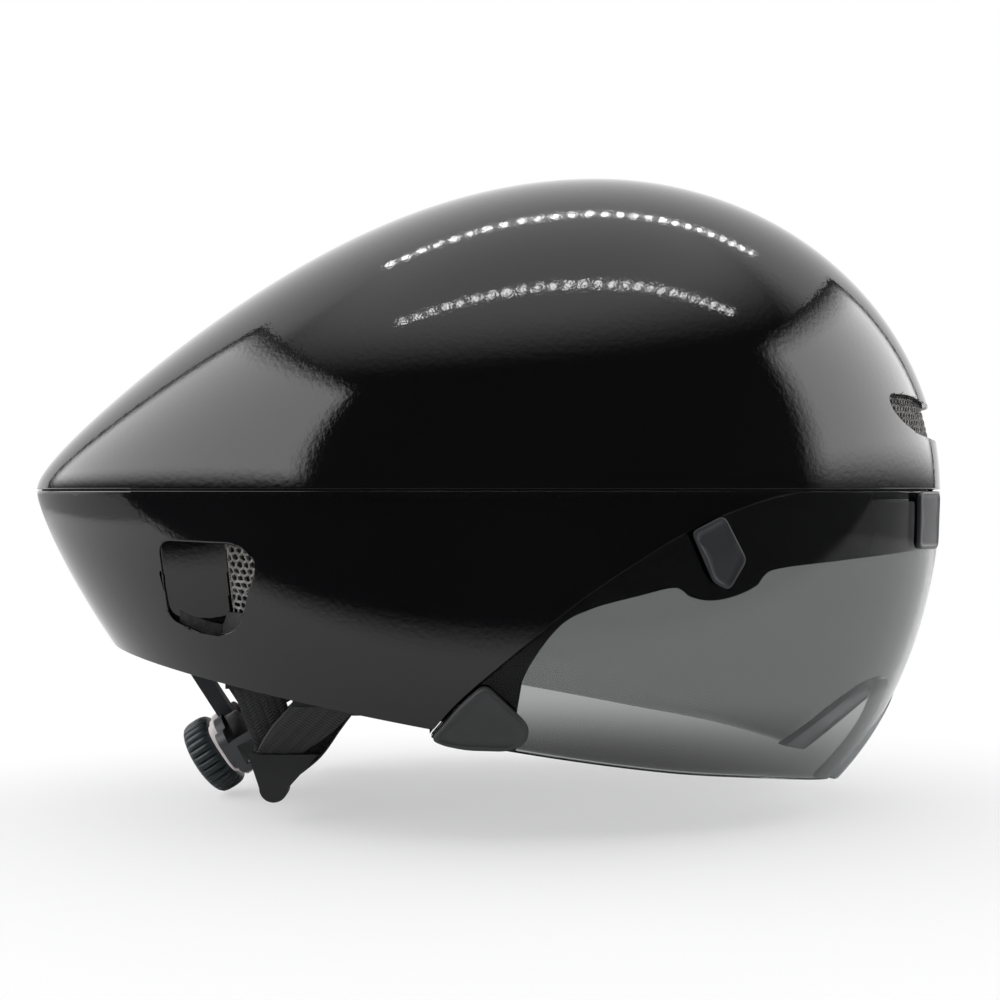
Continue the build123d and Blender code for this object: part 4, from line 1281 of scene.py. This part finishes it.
def turned(name, matrix, profile, turns, ribs=0, rib_depth=0.0):
    """A lathe-turned form from radius, height and a share of the ribs' depth, the first two in mm."""
    rows = len(profile) - 1

    def place(along, across):
        angle = along * 2 * math.pi
        radius, height, share = profile[round(across * rows)]
        if ribs:
            wave = abs(math.sin(angle * ribs / 2)) ** RIB_POWER
            radius -= rib_depth / MM * share * (1 - wave)
        return matrix @ (Vector((radius * math.cos(angle), radius * math.sin(angle), height)) * MM)

    bm = grid(turns, rows, place)
    bmesh.ops.recalc_face_normals(bm, faces=bm.faces)
    piece = to_object(bm, name)
    shade(piece, degrees=40)
    return piece


def rounded_rectangle(width, height, corner):
    turns = [(1, 1), (-1, 1), (-1, -1), (1, -1)]
    points = [Vector((width / 2 * across, height / 2 * up)) for across, up in turns]
    return rounded(points, corner * CORNER_REACH, CORNER_STEPS)


def stepped_block(name, matrix, levels, edge):
    """A block through level outlines, each a height, a width, a size up and a corner radius in mm."""
    outlines = [(height, rounded_rectangle(width, tall, corner)) for height, width, tall, corner in levels]
    count = len(outlines[0][1])
    rows = len(outlines) - 1

    def place(along, across):
        height, outline = outlines[round(across * rows)]
        point = outline[round(along * count) % count]
        return matrix @ (Vector((point.x, point.y, height)) * MM)

    bm = grid(count, rows, place)
    bmesh.ops.recalc_face_normals(bm, faces=bm.faces)
    piece = to_object(bm, name)
    bevel_edges(piece, edge, degrees=40)
    freeze(piece)
    shade(piece, degrees=40)
    return piece


def make_knob(fit, finish, cap_finish):
    matrix = dial_matrix()
    radius, depth, cap = fit.knob_radius / MM, fit.knob_depth / MM, fit.cap_radius / MM
    tip = 0.001
    profile = [
        (tip, -1.6, 0), (cap, -1.6, 0), (cap + 0.1, -1.5, 0), (cap + 0.15, -0.5, 0), (cap + 0.5, -0.05, 0),
        (cap + 1.2, 0, 0), (radius - 2.2, -0.3, 0), (radius - 1.2, -0.8, 0.3), (radius - 0.45, -1.6, 0.8),
        (radius - 0.1, -2.8, 1), (radius, -4.2, 1), (radius, -6.2, 1), (radius - 0.15, -7.6, 1),
        (radius - 0.5, -8.6, 0.9), (radius - 0.9, -9.2, 0.4), (radius - 1.5, -9.7, 0),
        (radius - 2.2, -depth, 0), (tip, -depth, 0),
    ]
    steps = fit.knob_ribs * KNOB_STEPS_PER_RIB
    knob = turned("dial_grip", matrix, profile, steps, fit.knob_ribs, fit.rib_depth)
    finish_piece(knob, "knob", "knob_rubber", finish, "dial_knob")
    cap_profile = [
        (tip, -1.4, 0), (cap - 0.3, -1.4, 0), (cap - 0.2, -1.2, 0), (cap - 0.25, -0.7, 0),
        (cap - 0.6, -0.35, 0), (cap - 1.4, -0.2, 0), (cap * 0.6, -0.1, 0), (cap * 0.3, -0.05, 0),
        (tip, -0.05, 0),
    ]
    cap_piece = turned("dial_cap", matrix, cap_profile, CAP_STEPS)
    finish_piece(cap_piece, "knob", "cap_plastic", cap_finish, "knob_cap")


def make_housing(fit, finish):
    """Light housing with a stepped shoulder towards the knob."""
    front = -fit.knob_depth / MM - HOUSING_GAP
    back = front - fit.housing_depth / MM
    wide, tall, corner = fit.housing_width / MM, fit.housing_height / MM, fit.housing_corner / MM
    tip = 0.01
    levels = [
        (front, tip, tip, tip / 4), (front, wide - 8, tall - 5, corner - 1),
        (front - 1.6, wide - 7, tall - 4.4, corner - 1), (front - 1.6, wide - 4, tall - 2.4, corner - 0.5),
        (front - 3.4, wide - 3, tall - 1.8, corner), (front - 3.4, wide, tall, corner),
        (back, wide, tall, corner), (back, tip, tip, tip / 4),
    ]
    housing = stepped_block("dial_body", dial_matrix(), levels, fit.housing_edge)
    finish_piece(housing, "cradle", "housing_light", finish, "dial_housing")


# Pads

PADS = [
    ("brow_pad", "shell"), ("crown_pad_centre", "shell"), ("crown_pad_right", "shell"),
    ("crown_pad_left", "shell"), ("side_pad_right", "shell"), ("side_pad_left", "shell"),
    ("occipital_pad_right", "cradle"), ("occipital_pad_left", "cradle"),
]
PAD_MERGE, PAD_VOXEL, PAD_START_INSET = 0.01 * MM, 2.2 * MM, 0.5 * MM
PAD_SMOOTHINGS, PAD_SMOOTH_SHARE = 2, 0.5
PAD_FRAMES, PAD_PRESSURE, PAD_QUALITY, PAD_FILL = 20, 4.0, 6, 0.6


def pad_blank(node):
    """A copy of a pad's plain solid, remeshed in even faces and drawn in a little."""
    bm = bmesh.new()
    bm.from_mesh(frame["nodes"][node].data)
    bmesh.ops.remove_doubles(bm, verts=bm.verts, dist=PAD_MERGE)
    piece = to_object(bm, node.replace("_pad", "_cushion"))
    remesh = piece.modifiers.new("Even", "REMESH")
    remesh.mode = "VOXEL"
    remesh.voxel_size = PAD_VOXEL
    freeze(piece)
    bm = bmesh.new()
    bm.from_mesh(piece.data)
    for _ in range(PAD_SMOOTHINGS):
        bmesh.ops.smooth_vert(bm, verts=bm.verts, factor=PAD_SMOOTH_SHARE, use_axis_x=True,
                              use_axis_y=True, use_axis_z=True)
    bm.normal_update()
    for vert, normal in [(vert, vert.normal.copy()) for vert in bm.verts]:
        vert.co -= normal * PAD_START_INSET
    bm.to_mesh(piece.data)
    bm.free()
    return piece


def swell(pieces, limit):
    """Lets all pads swell as cloth under a light pressure, and holds each point within a limit."""
    scene = bpy.context.scene
    starts = {}
    for piece in pieces:
        starts[piece.name] = [vert.co.copy() for vert in piece.data.vertices]
        cloth = piece.modifiers.new("Cloth", "CLOTH")
        cloth.settings.use_pressure = True
        cloth.settings.uniform_pressure_force = PAD_PRESSURE
        cloth.settings.quality = PAD_QUALITY
        cloth.settings.effector_weights.gravity = 0.0
        cloth.point_cache.frame_start = 1
        cloth.point_cache.frame_end = PAD_FRAMES
    for step in range(1, PAD_FRAMES + 1):
        scene.frame_set(step)
    for piece in pieces:
        freeze(piece)
        for vert, start in zip(piece.data.vertices, starts[piece.name]):
            move = vert.co - start
            if move.length > limit:
                vert.co = start + move.normalized() * limit
    scene.frame_set(1)


def make_pads(fit, material):
    pieces = [pad_blank(node) for node, body in PADS]
    swell(pieces, fit.pad_swell)
    for piece, (node, body) in zip(pieces, PADS):
        smoother = piece.modifiers.new("Smooth", "SUBSURF")
        smoother.levels = 1
        smoother.render_levels = 1
        freeze(piece)
        shade(piece, degrees=80)
        finish_piece(piece, body, "pad_fabric", material, node)


# Stage

FLOOR_RADIUS, FLOOR_ROUGHNESS = 6.0, 0.9
# Radii between which the floor that the camera sees turns from half lit to white
HALO_NEAR, HALO_FAR, HALO_LEAST = 0.2, 0.75, 0.5
# Radii between which the floor seen through the lens goes from dark to white: a painted shadow round the
# helmet that only the lens shows
PAINTED_SHADOW_NEAR, PAINTED_SHADOW_FAR, PAINTED_SHADOW_DARK = 0.08, 0.28, 0.16
# Places along Y between which the reflected floor turns from dark to its own colour: a painted reflection, as
# the floor darkens there only in reflections
PAINTED_REFLECTION_NEAR, PAINTED_REFLECTION_FAR, PAINTED_REFLECTION_DARK = -0.24, -0.17, 0.01
# Start, end, and the two brightnesses of the room's far wall and of its ceiling
ROOM_WALL, ROOM_CEILING = (-0.1, 0.3, 0.02, 1.1), (0.68, 0.93, 0.02, 1.25)
# Name, centre, size across and up, and brightness of the soft boxes
SOFT_BOXES = [
    ("tail_light", (-0.9, -0.24, 0.66), (1.72, 1.1), 2.2),
    ("front_light", (0.9, 0.2, 0.5), (1.4, 0.84), 2.2),
]
# How much brighter the reflected panels are than the lamps that light the helmet
PANEL_GAIN = 1.45
SOFT_BOX_FADE = 0.2
# Place along Y, height, and the two ends along X of each row
LAMP_ROWS = [(-0.25, 0.75, -0.285, 0.52), (0.18, 0.75, -0.27, 0.45)]
LAMP_COUNT, LAMP_LENGTH, LAMP_WIDTH, LAMP_GLOW = 26, 0.042, 0.014, 18.0
CAMERA_LENS, CAMERA_SENSOR, CAMERA_SHIFT = 57.39, 36.0, -0.01
CAMERA_X, CAMERA_Y, CAMERA_CLIP = 4.95 * MM, -550 * MM, 0.01
BLACK, WHITE = (0, 0, 0, 1), (1, 1, 1, 1)


def seen_mask(tree):
    """The light path, and one for what the camera sees straight or through the lens."""
    path = add_node(tree, "ShaderNodeLightPath")
    either = add_node(tree, "ShaderNodeMath", operation="MAXIMUM")
    tree.links.new(path.outputs["Is Camera Ray"], either.inputs[0])
    tree.links.new(path.outputs["Is Transmission Ray"], either.inputs[1])
    return path, either.outputs["Value"]


def floor_material(colours):
    """Pale floor that fades to white round the helmet. It has a painted reflection that darkens it toward the
    camera in reflections only, and a painted shadow that darkens it near the helmet where it is seen through
    the lens.
    """
    material, tree, shader = new_material("Floor")
    set_inputs(shader, {"Base Color": (*colours.floor, 1), "Roughness": FLOOR_ROUGHNESS})
    link = tree.links.new
    place = add_node(tree, "ShaderNodeTexCoord")
    reach = add_node(tree, "ShaderNodeVectorMath", operation="LENGTH")
    link(place.outputs["Object"], reach.inputs[0])
    parts = add_node(tree, "ShaderNodeSeparateXYZ")
    link(place.outputs["Object"], parts.inputs["Vector"])
    halo = ramp_node(tree, HALO_NEAR, HALO_FAR, HALO_LEAST, 1.0)
    link(reach.outputs["Value"], halo.inputs["Value"])
    # Painted reflection: glossy rays see the floor's colour darken toward the camera's side
    edge = ramp_node(tree, PAINTED_REFLECTION_NEAR, PAINTED_REFLECTION_FAR, PAINTED_REFLECTION_DARK, colours.floor[0])
    link(parts.outputs["Y"], edge.inputs["Value"])
    # Painted shadow: through the lens the floor glows dimmer near the helmet
    under = ramp_node(tree, PAINTED_SHADOW_NEAR, PAINTED_SHADOW_FAR, PAINTED_SHADOW_DARK, 1.0)
    link(reach.outputs["Value"], under.inputs["Value"])
    glow = add_node(tree, "ShaderNodeEmission", {"Strength": 1.0})
    painted_reflection_floor = add_node(tree, "ShaderNodeBsdfDiffuse")
    link(edge.outputs["Result"], painted_reflection_floor.inputs["Color"])
    dim = add_node(tree, "ShaderNodeEmission")
    link(under.outputs["Result"], dim.inputs["Strength"])
    path, seen = seen_mask(tree)
    plain = shader.outputs["BSDF"]
    shown = mix_shaders(tree, halo.outputs["Result"], plain, glow.outputs["Emission"])
    mirrored = mix_shaders(tree, path.outputs["Is Glossy Ray"], plain, painted_reflection_floor.outputs["BSDF"])
    behind = mix_shaders(tree, path.outputs["Is Transmission Ray"], shown, dim.outputs["Emission"])
    link(mix_shaders(tree, seen, mirrored, behind), tree.nodes["Material Output"].inputs["Surface"])
    return material


def room_world():
    """White behind the helmet and over it, dim on the camera's side, and plain white where it is seen."""
    world = bpy.context.scene.world or bpy.data.worlds.new("World")
    bpy.context.scene.world = world
    world.use_nodes = True
    tree = world.node_tree
    tree.nodes.clear()
    link = tree.links.new
    place = add_node(tree, "ShaderNodeTexCoord")
    parts = add_node(tree, "ShaderNodeSeparateXYZ")
    link(place.outputs["Generated"], parts.inputs["Vector"])
    brightest = add_node(tree, "ShaderNodeMath", operation="MAXIMUM")
    for index, (axis, limits) in enumerate([("Y", ROOM_WALL), ("Z", ROOM_CEILING)]):
        ramp = ramp_node(tree, *limits)
        link(parts.outputs[axis], ramp.inputs["Value"])
        link(ramp.outputs["Result"], brightest.inputs[index])
    room = add_node(tree, "ShaderNodeBackground", {"Color": WHITE})
    link(brightest.outputs["Value"], room.inputs["Strength"])
    white = add_node(tree, "ShaderNodeBackground", {"Color": WHITE})
    surface = mix_shaders(tree, seen_mask(tree)[1], room.outputs["Background"], white.outputs["Background"])
    out = add_node(tree, "ShaderNodeOutputWorld")
    link(surface, out.inputs["Surface"])


def soft_box_material(name, size, brightness):
    """Even glow that fades out toward the edges of its panel."""
    material, tree, shader = new_material(name)
    set_inputs(shader, {"Base Color": BLACK, "Roughness": 1.0, "Emission Strength": brightness})
    link = tree.links.new
    place = add_node(tree, "ShaderNodeTexCoord")
    outward = add_node(tree, "ShaderNodeVectorMath", operation="ABSOLUTE")
    link(place.outputs["Object"], outward.inputs[0])
    parts = add_node(tree, "ShaderNodeSeparateXYZ")
    link(outward.outputs["Vector"], parts.inputs["Vector"])
    glow = add_node(tree, "ShaderNodeMath", operation="MULTIPLY")
    for index, axis in enumerate("XY"):
        fade = ramp_node(tree, size[index] / 2 - SOFT_BOX_FADE, size[index] / 2, 1.0, 0.0)
        link(parts.outputs[axis], fade.inputs["Value"])
        link(fade.outputs["Result"], glow.inputs[index])
    link(glow.outputs["Value"], shader.inputs["Emission Color"])
    return material


def make_soft_box(name, lamp, size, brightness):
    """The panel that the gloss reflects, where its lamp stands."""
    bm = bmesh.new()
    bmesh.ops.create_grid(bm, x_segments=1, y_segments=1, size=0.5,
                          matrix=Matrix.Diagonal((size[0], size[1], 1, 1)))
    panel = to_object(bm, name + "_panel")
    panel.data.materials.append(soft_box_material(name + "_glow", size, brightness))
    panel.location = lamp.location
    panel.rotation_euler = lamp.rotation_euler
    panel.visible_camera = False
    panel.visible_diffuse = False
    panel.visible_transmission = False
    panel.visible_shadow = False


def make_soft_lamps():
    """A soft box at each end."""
    for name, place, size, brightness in SOFT_BOXES:
        light = bpy.data.lights.new(name, "AREA")
        light.shape = "RECTANGLE"
        light.size, light.size_y = size
        light.energy = brightness * size[0] * size[1] * math.pi
        lamp = bpy.data.objects.new(name, light)
        lamp.location = place
        lamp.rotation_euler = Vector((-place[0], 0, 0)).to_track_quat("-Z", "Y").to_euler()
        lamp.visible_glossy = False
        bpy.context.scene.collection.objects.link(lamp)
        make_soft_box(name, lamp, size, brightness * PANEL_GAIN)


def make_lamp_rows():
    """Two rows of small lamps overhead."""
    bm = bmesh.new()
    size = Matrix.Diagonal((LAMP_WIDTH / 2, LAMP_LENGTH / 2, 1, 1))
    for y, z, start, end in LAMP_ROWS:
        for index in range(LAMP_COUNT):
            x = start + (end - start) * index / (LAMP_COUNT - 1)
            bmesh.ops.create_circle(bm, cap_ends=True, segments=16, radius=1,
                                    matrix=Matrix.Translation((x, y, z)) @ size)
    rows = to_object(bm, "lamp_rows")
    material, _, shader = new_material("Lamps")
    set_inputs(shader, {"Base Color": BLACK, "Emission Color": WHITE, "Emission Strength": LAMP_GLOW})
    rows.data.materials.append(material)
    rows.visible_diffuse = False
    rows.visible_camera = False


def make_camera(form):
    camera_data = bpy.data.cameras.new("camera")
    camera_data.lens = CAMERA_LENS
    camera_data.sensor_width = CAMERA_SENSOR
    camera_data.shift_y = CAMERA_SHIFT
    camera_data.clip_start = CAMERA_CLIP
    camera = bpy.data.objects.new("camera", camera_data)
    camera.location = (CAMERA_X, CAMERA_Y, form.seam)
    camera.rotation_euler = (math.pi / 2, 0, 0)
    bpy.context.scene.collection.objects.link(camera)
    bpy.context.scene.camera = camera
    bpy.context.scene.view_settings.view_transform = "Standard"


def make_stage(form, colours):
    bm = bmesh.new()
    bmesh.ops.create_circle(bm, cap_ends=True, segments=64, radius=FLOOR_RADIUS)
    floor = to_object(bm, "floor")
    floor.data.materials.append(floor_material(colours))
    room_world()
    make_soft_lamps()
    make_lamp_rows()
    make_camera(form)


# Finishes of the frame's own nodes

# Slot, name, colour, depth of the grain, and the two ends of the roughness
NODE_PLASTICS = [
    ("magnet", "Magnet", (0.5, 0.5, 0.5), 0.005 * MM, (0.2, 0.3)),
    ("seat_plastic", "Ledge Plastic", (0.02, 0.02, 0.021), 0.02 * MM, (0.4, 0.55)),
    ("buckle_plastic", "Buckle Plastic", (0.006, 0.0065, 0.008), 0.02 * MM, (0.3, 0.45)),
    ("cradle_plastic", "Cradle Plastic", (0.05, 0.052, 0.056), 0.02 * MM, (0.35, 0.45)),
    ("steel", "Steel", (0.5, 0.5, 0.5), 0.005 * MM, (0.25, 0.35)),
]


def node_finishes():
    finishes = {slot: plain_plastic(*finish) for slot, *finish in NODE_PLASTICS}
    finishes["foam"] = foam_material()
    finishes["band_plastic"] = band_plastic()
    finishes["cap_plastic"] = cap_plastic()
    finishes["frame_gloss"] = border_plastic()
    finishes["grip_rubber"] = trim_rubber()
    return finishes


# Steps and panel

class HELMET_OT_stage(bpy.types.Operator):
    """Floor, light and camera"""
    bl_idname = "helmet.stage"
    bl_label = "Stage"

    def execute(self, context):
        make_stage(context.scene.helmet_form, context.scene.helmet_colours)
        return {"FINISHED"}


class HELMET_OT_shells(bpy.types.Operator):
    """Glossy crown and skirt"""
    bl_idname = "helmet.shells"
    bl_label = "Shells"

    def execute(self, context):
        make_crown(context.scene.helmet_form, context.scene.helmet_colours)
        make_skirt(context.scene.helmet_form, context.scene.helmet_colours)
        return {"FINISHED"}


class HELMET_OT_visor(bpy.types.Operator):
    """Lens, its opaque border, tabs and corner grips"""
    bl_idname = "helmet.visor"
    bl_label = "Visor"

    def execute(self, context):
        form, colours = context.scene.helmet_form, context.scene.helmet_colours
        make_lens(form, colours)
        make_border(form)
        grey = plain_plastic("Tab Plastic", tuple(colours.tab), 0.02 * MM, (0.38, 0.5))
        rubber = plain_plastic("Grip Rubber", (0.03, 0.031, 0.033), 0.03 * MM, (0.45, 0.6))
        tab = form.tab_height, form.tab_corner, form.tab_rim
        grip = form.grip_height, form.grip_corner, form.grip_rim
        for word, side in SIDES:
            make_tab(form, f"side_tab_{word}", SIDE_TAB_SHARES, side, tab, grey, "tab_grey")
            make_tab(form, f"front_tab_{word}", FRONT_TAB_SHARES, side, tab, grey, "tab_grey")
            make_tab(form, f"corner_grip_{word}", CORNER_GRIP_SHARES, side, grip, rubber, "grip_rubber")
        return {"FINISHED"}


class HELMET_OT_vents(bpy.types.Operator):
    """Pockets and cell meshes of the vents"""
    bl_idname = "helmet.vents"
    bl_label = "Vents"

    def execute(self, context):
        form, fit = context.scene.helmet_form, context.scene.helmet_fit
        paint = gloss_paint(context.scene.helmet_colours)
        for word, side in SIDES:
            make_rear_vent(form, fit, word, side, paint, mesh_plastic())
        make_front_vent(form, fit, mesh_plastic())
        return {"FINISHED"}


class HELMET_OT_straps(bpy.types.Operator):
    """Webbing straps on both sides"""
    bl_idname = "helmet.straps"
    bl_label = "Straps"

    def execute(self, context):
        fit = context.scene.helmet_fit
        material = webbing_material(context.scene.helmet_colours)
        for word, side in SIDES:
            side_strap(fit, "front", word, side, 1, material)
            side_strap(fit, "rear", word, side, -1, material)
            chin_webbing(fit, word, side, material)
        return {"FINISHED"}


class HELMET_OT_fit_bands(bpy.types.Operator):
    """Flexible bands from the temples to the dial"""
    bl_idname = "helmet.fit_bands"
    bl_label = "Fit bands"

    def execute(self, context):
        for word, side in SIDES:
            make_fit_band(context.scene.helmet_fit, word, side, band_plastic())
        return {"FINISHED"}


class HELMET_OT_dial(bpy.types.Operator):
    """Knob, cap and housing of the fit dial"""
    bl_idname = "helmet.dial"
    bl_label = "Fit dial"

    def execute(self, context):
        fit, colours = context.scene.helmet_fit, context.scene.helmet_colours
        knob = plain_plastic("Knob Rubber", tuple(colours.dial), 0.02 * MM, (0.3, 0.45))
        housing = plain_plastic("Housing Plastic", tuple(colours.housing), 0.02 * MM, (0.3, 0.42))
        make_knob(fit, knob, cap_plastic())
        make_housing(fit, housing)
        return {"FINISHED"}


class HELMET_OT_pads(bpy.types.Operator):
    """Soft pads inside the helmet"""
    bl_idname = "helmet.pads"
    bl_label = "Pads"

    def execute(self, context):
        make_pads(context.scene.helmet_fit, pad_material())
        return {"FINISHED"}


class HELMET_OT_node_finishes(bpy.types.Operator):
    """Finishes of the pieces that the frame itself shows"""
    bl_idname = "helmet.node_finishes"
    bl_label = "Frame finishes"

    def execute(self, context):
        finishes = node_finishes()
        for subpart in frame["record"]["subparts"]:
            node = frame["nodes"][subpart["node"]]
            if node.hide_render:
                continue
            node.data.materials.clear()
            node.data.materials.append(finishes[subpart["material_slot"]])
        return {"FINISHED"}


class HELMET_PT_panel(bpy.types.Panel):
    """Sizes, colours and the steps that build the helmet"""
    bl_idname = "HELMET_PT_panel"
    bl_label = "Time Trial Helmet"
    bl_space_type = "VIEW_3D"
    bl_region_type = "UI"
    bl_category = "Helmet"

    def draw(self, context):
        layout = self.layout
        for group in [context.scene.helmet_form, context.scene.helmet_fit, context.scene.helmet_colours]:
            box = layout.box()
            for key in group.__annotations__:
                box.prop(group, key)
        for step in STEPS:
            layout.operator(step.bl_idname)


STEPS = [
    HELMET_OT_stage, HELMET_OT_shells, HELMET_OT_visor, HELMET_OT_vents, HELMET_OT_straps,
    HELMET_OT_fit_bands, HELMET_OT_dial, HELMET_OT_pads, HELMET_OT_node_finishes,
]
CLASSES = [HelmetForm, HelmetFit, HelmetColours, *STEPS, HELMET_PT_panel]


def register():
    for cls in CLASSES:
        bpy.utils.register_class(cls)
    bpy.types.Scene.helmet_form = bpy.props.PointerProperty(type=HelmetForm)
    bpy.types.Scene.helmet_fit = bpy.props.PointerProperty(type=HelmetFit)
    bpy.types.Scene.helmet_colours = bpy.props.PointerProperty(type=HelmetColours)


def unregister():
    del bpy.types.Scene.helmet_colours
    del bpy.types.Scene.helmet_fit
    del bpy.types.Scene.helmet_form
    for cls in reversed(CLASSES):
        bpy.utils.unregister_class(cls)


def main():
    register()
    for step in STEPS:
        getattr(bpy.ops.helmet, step.bl_idname.split(".")[1])()


if __name__ == "__main__":
    main()
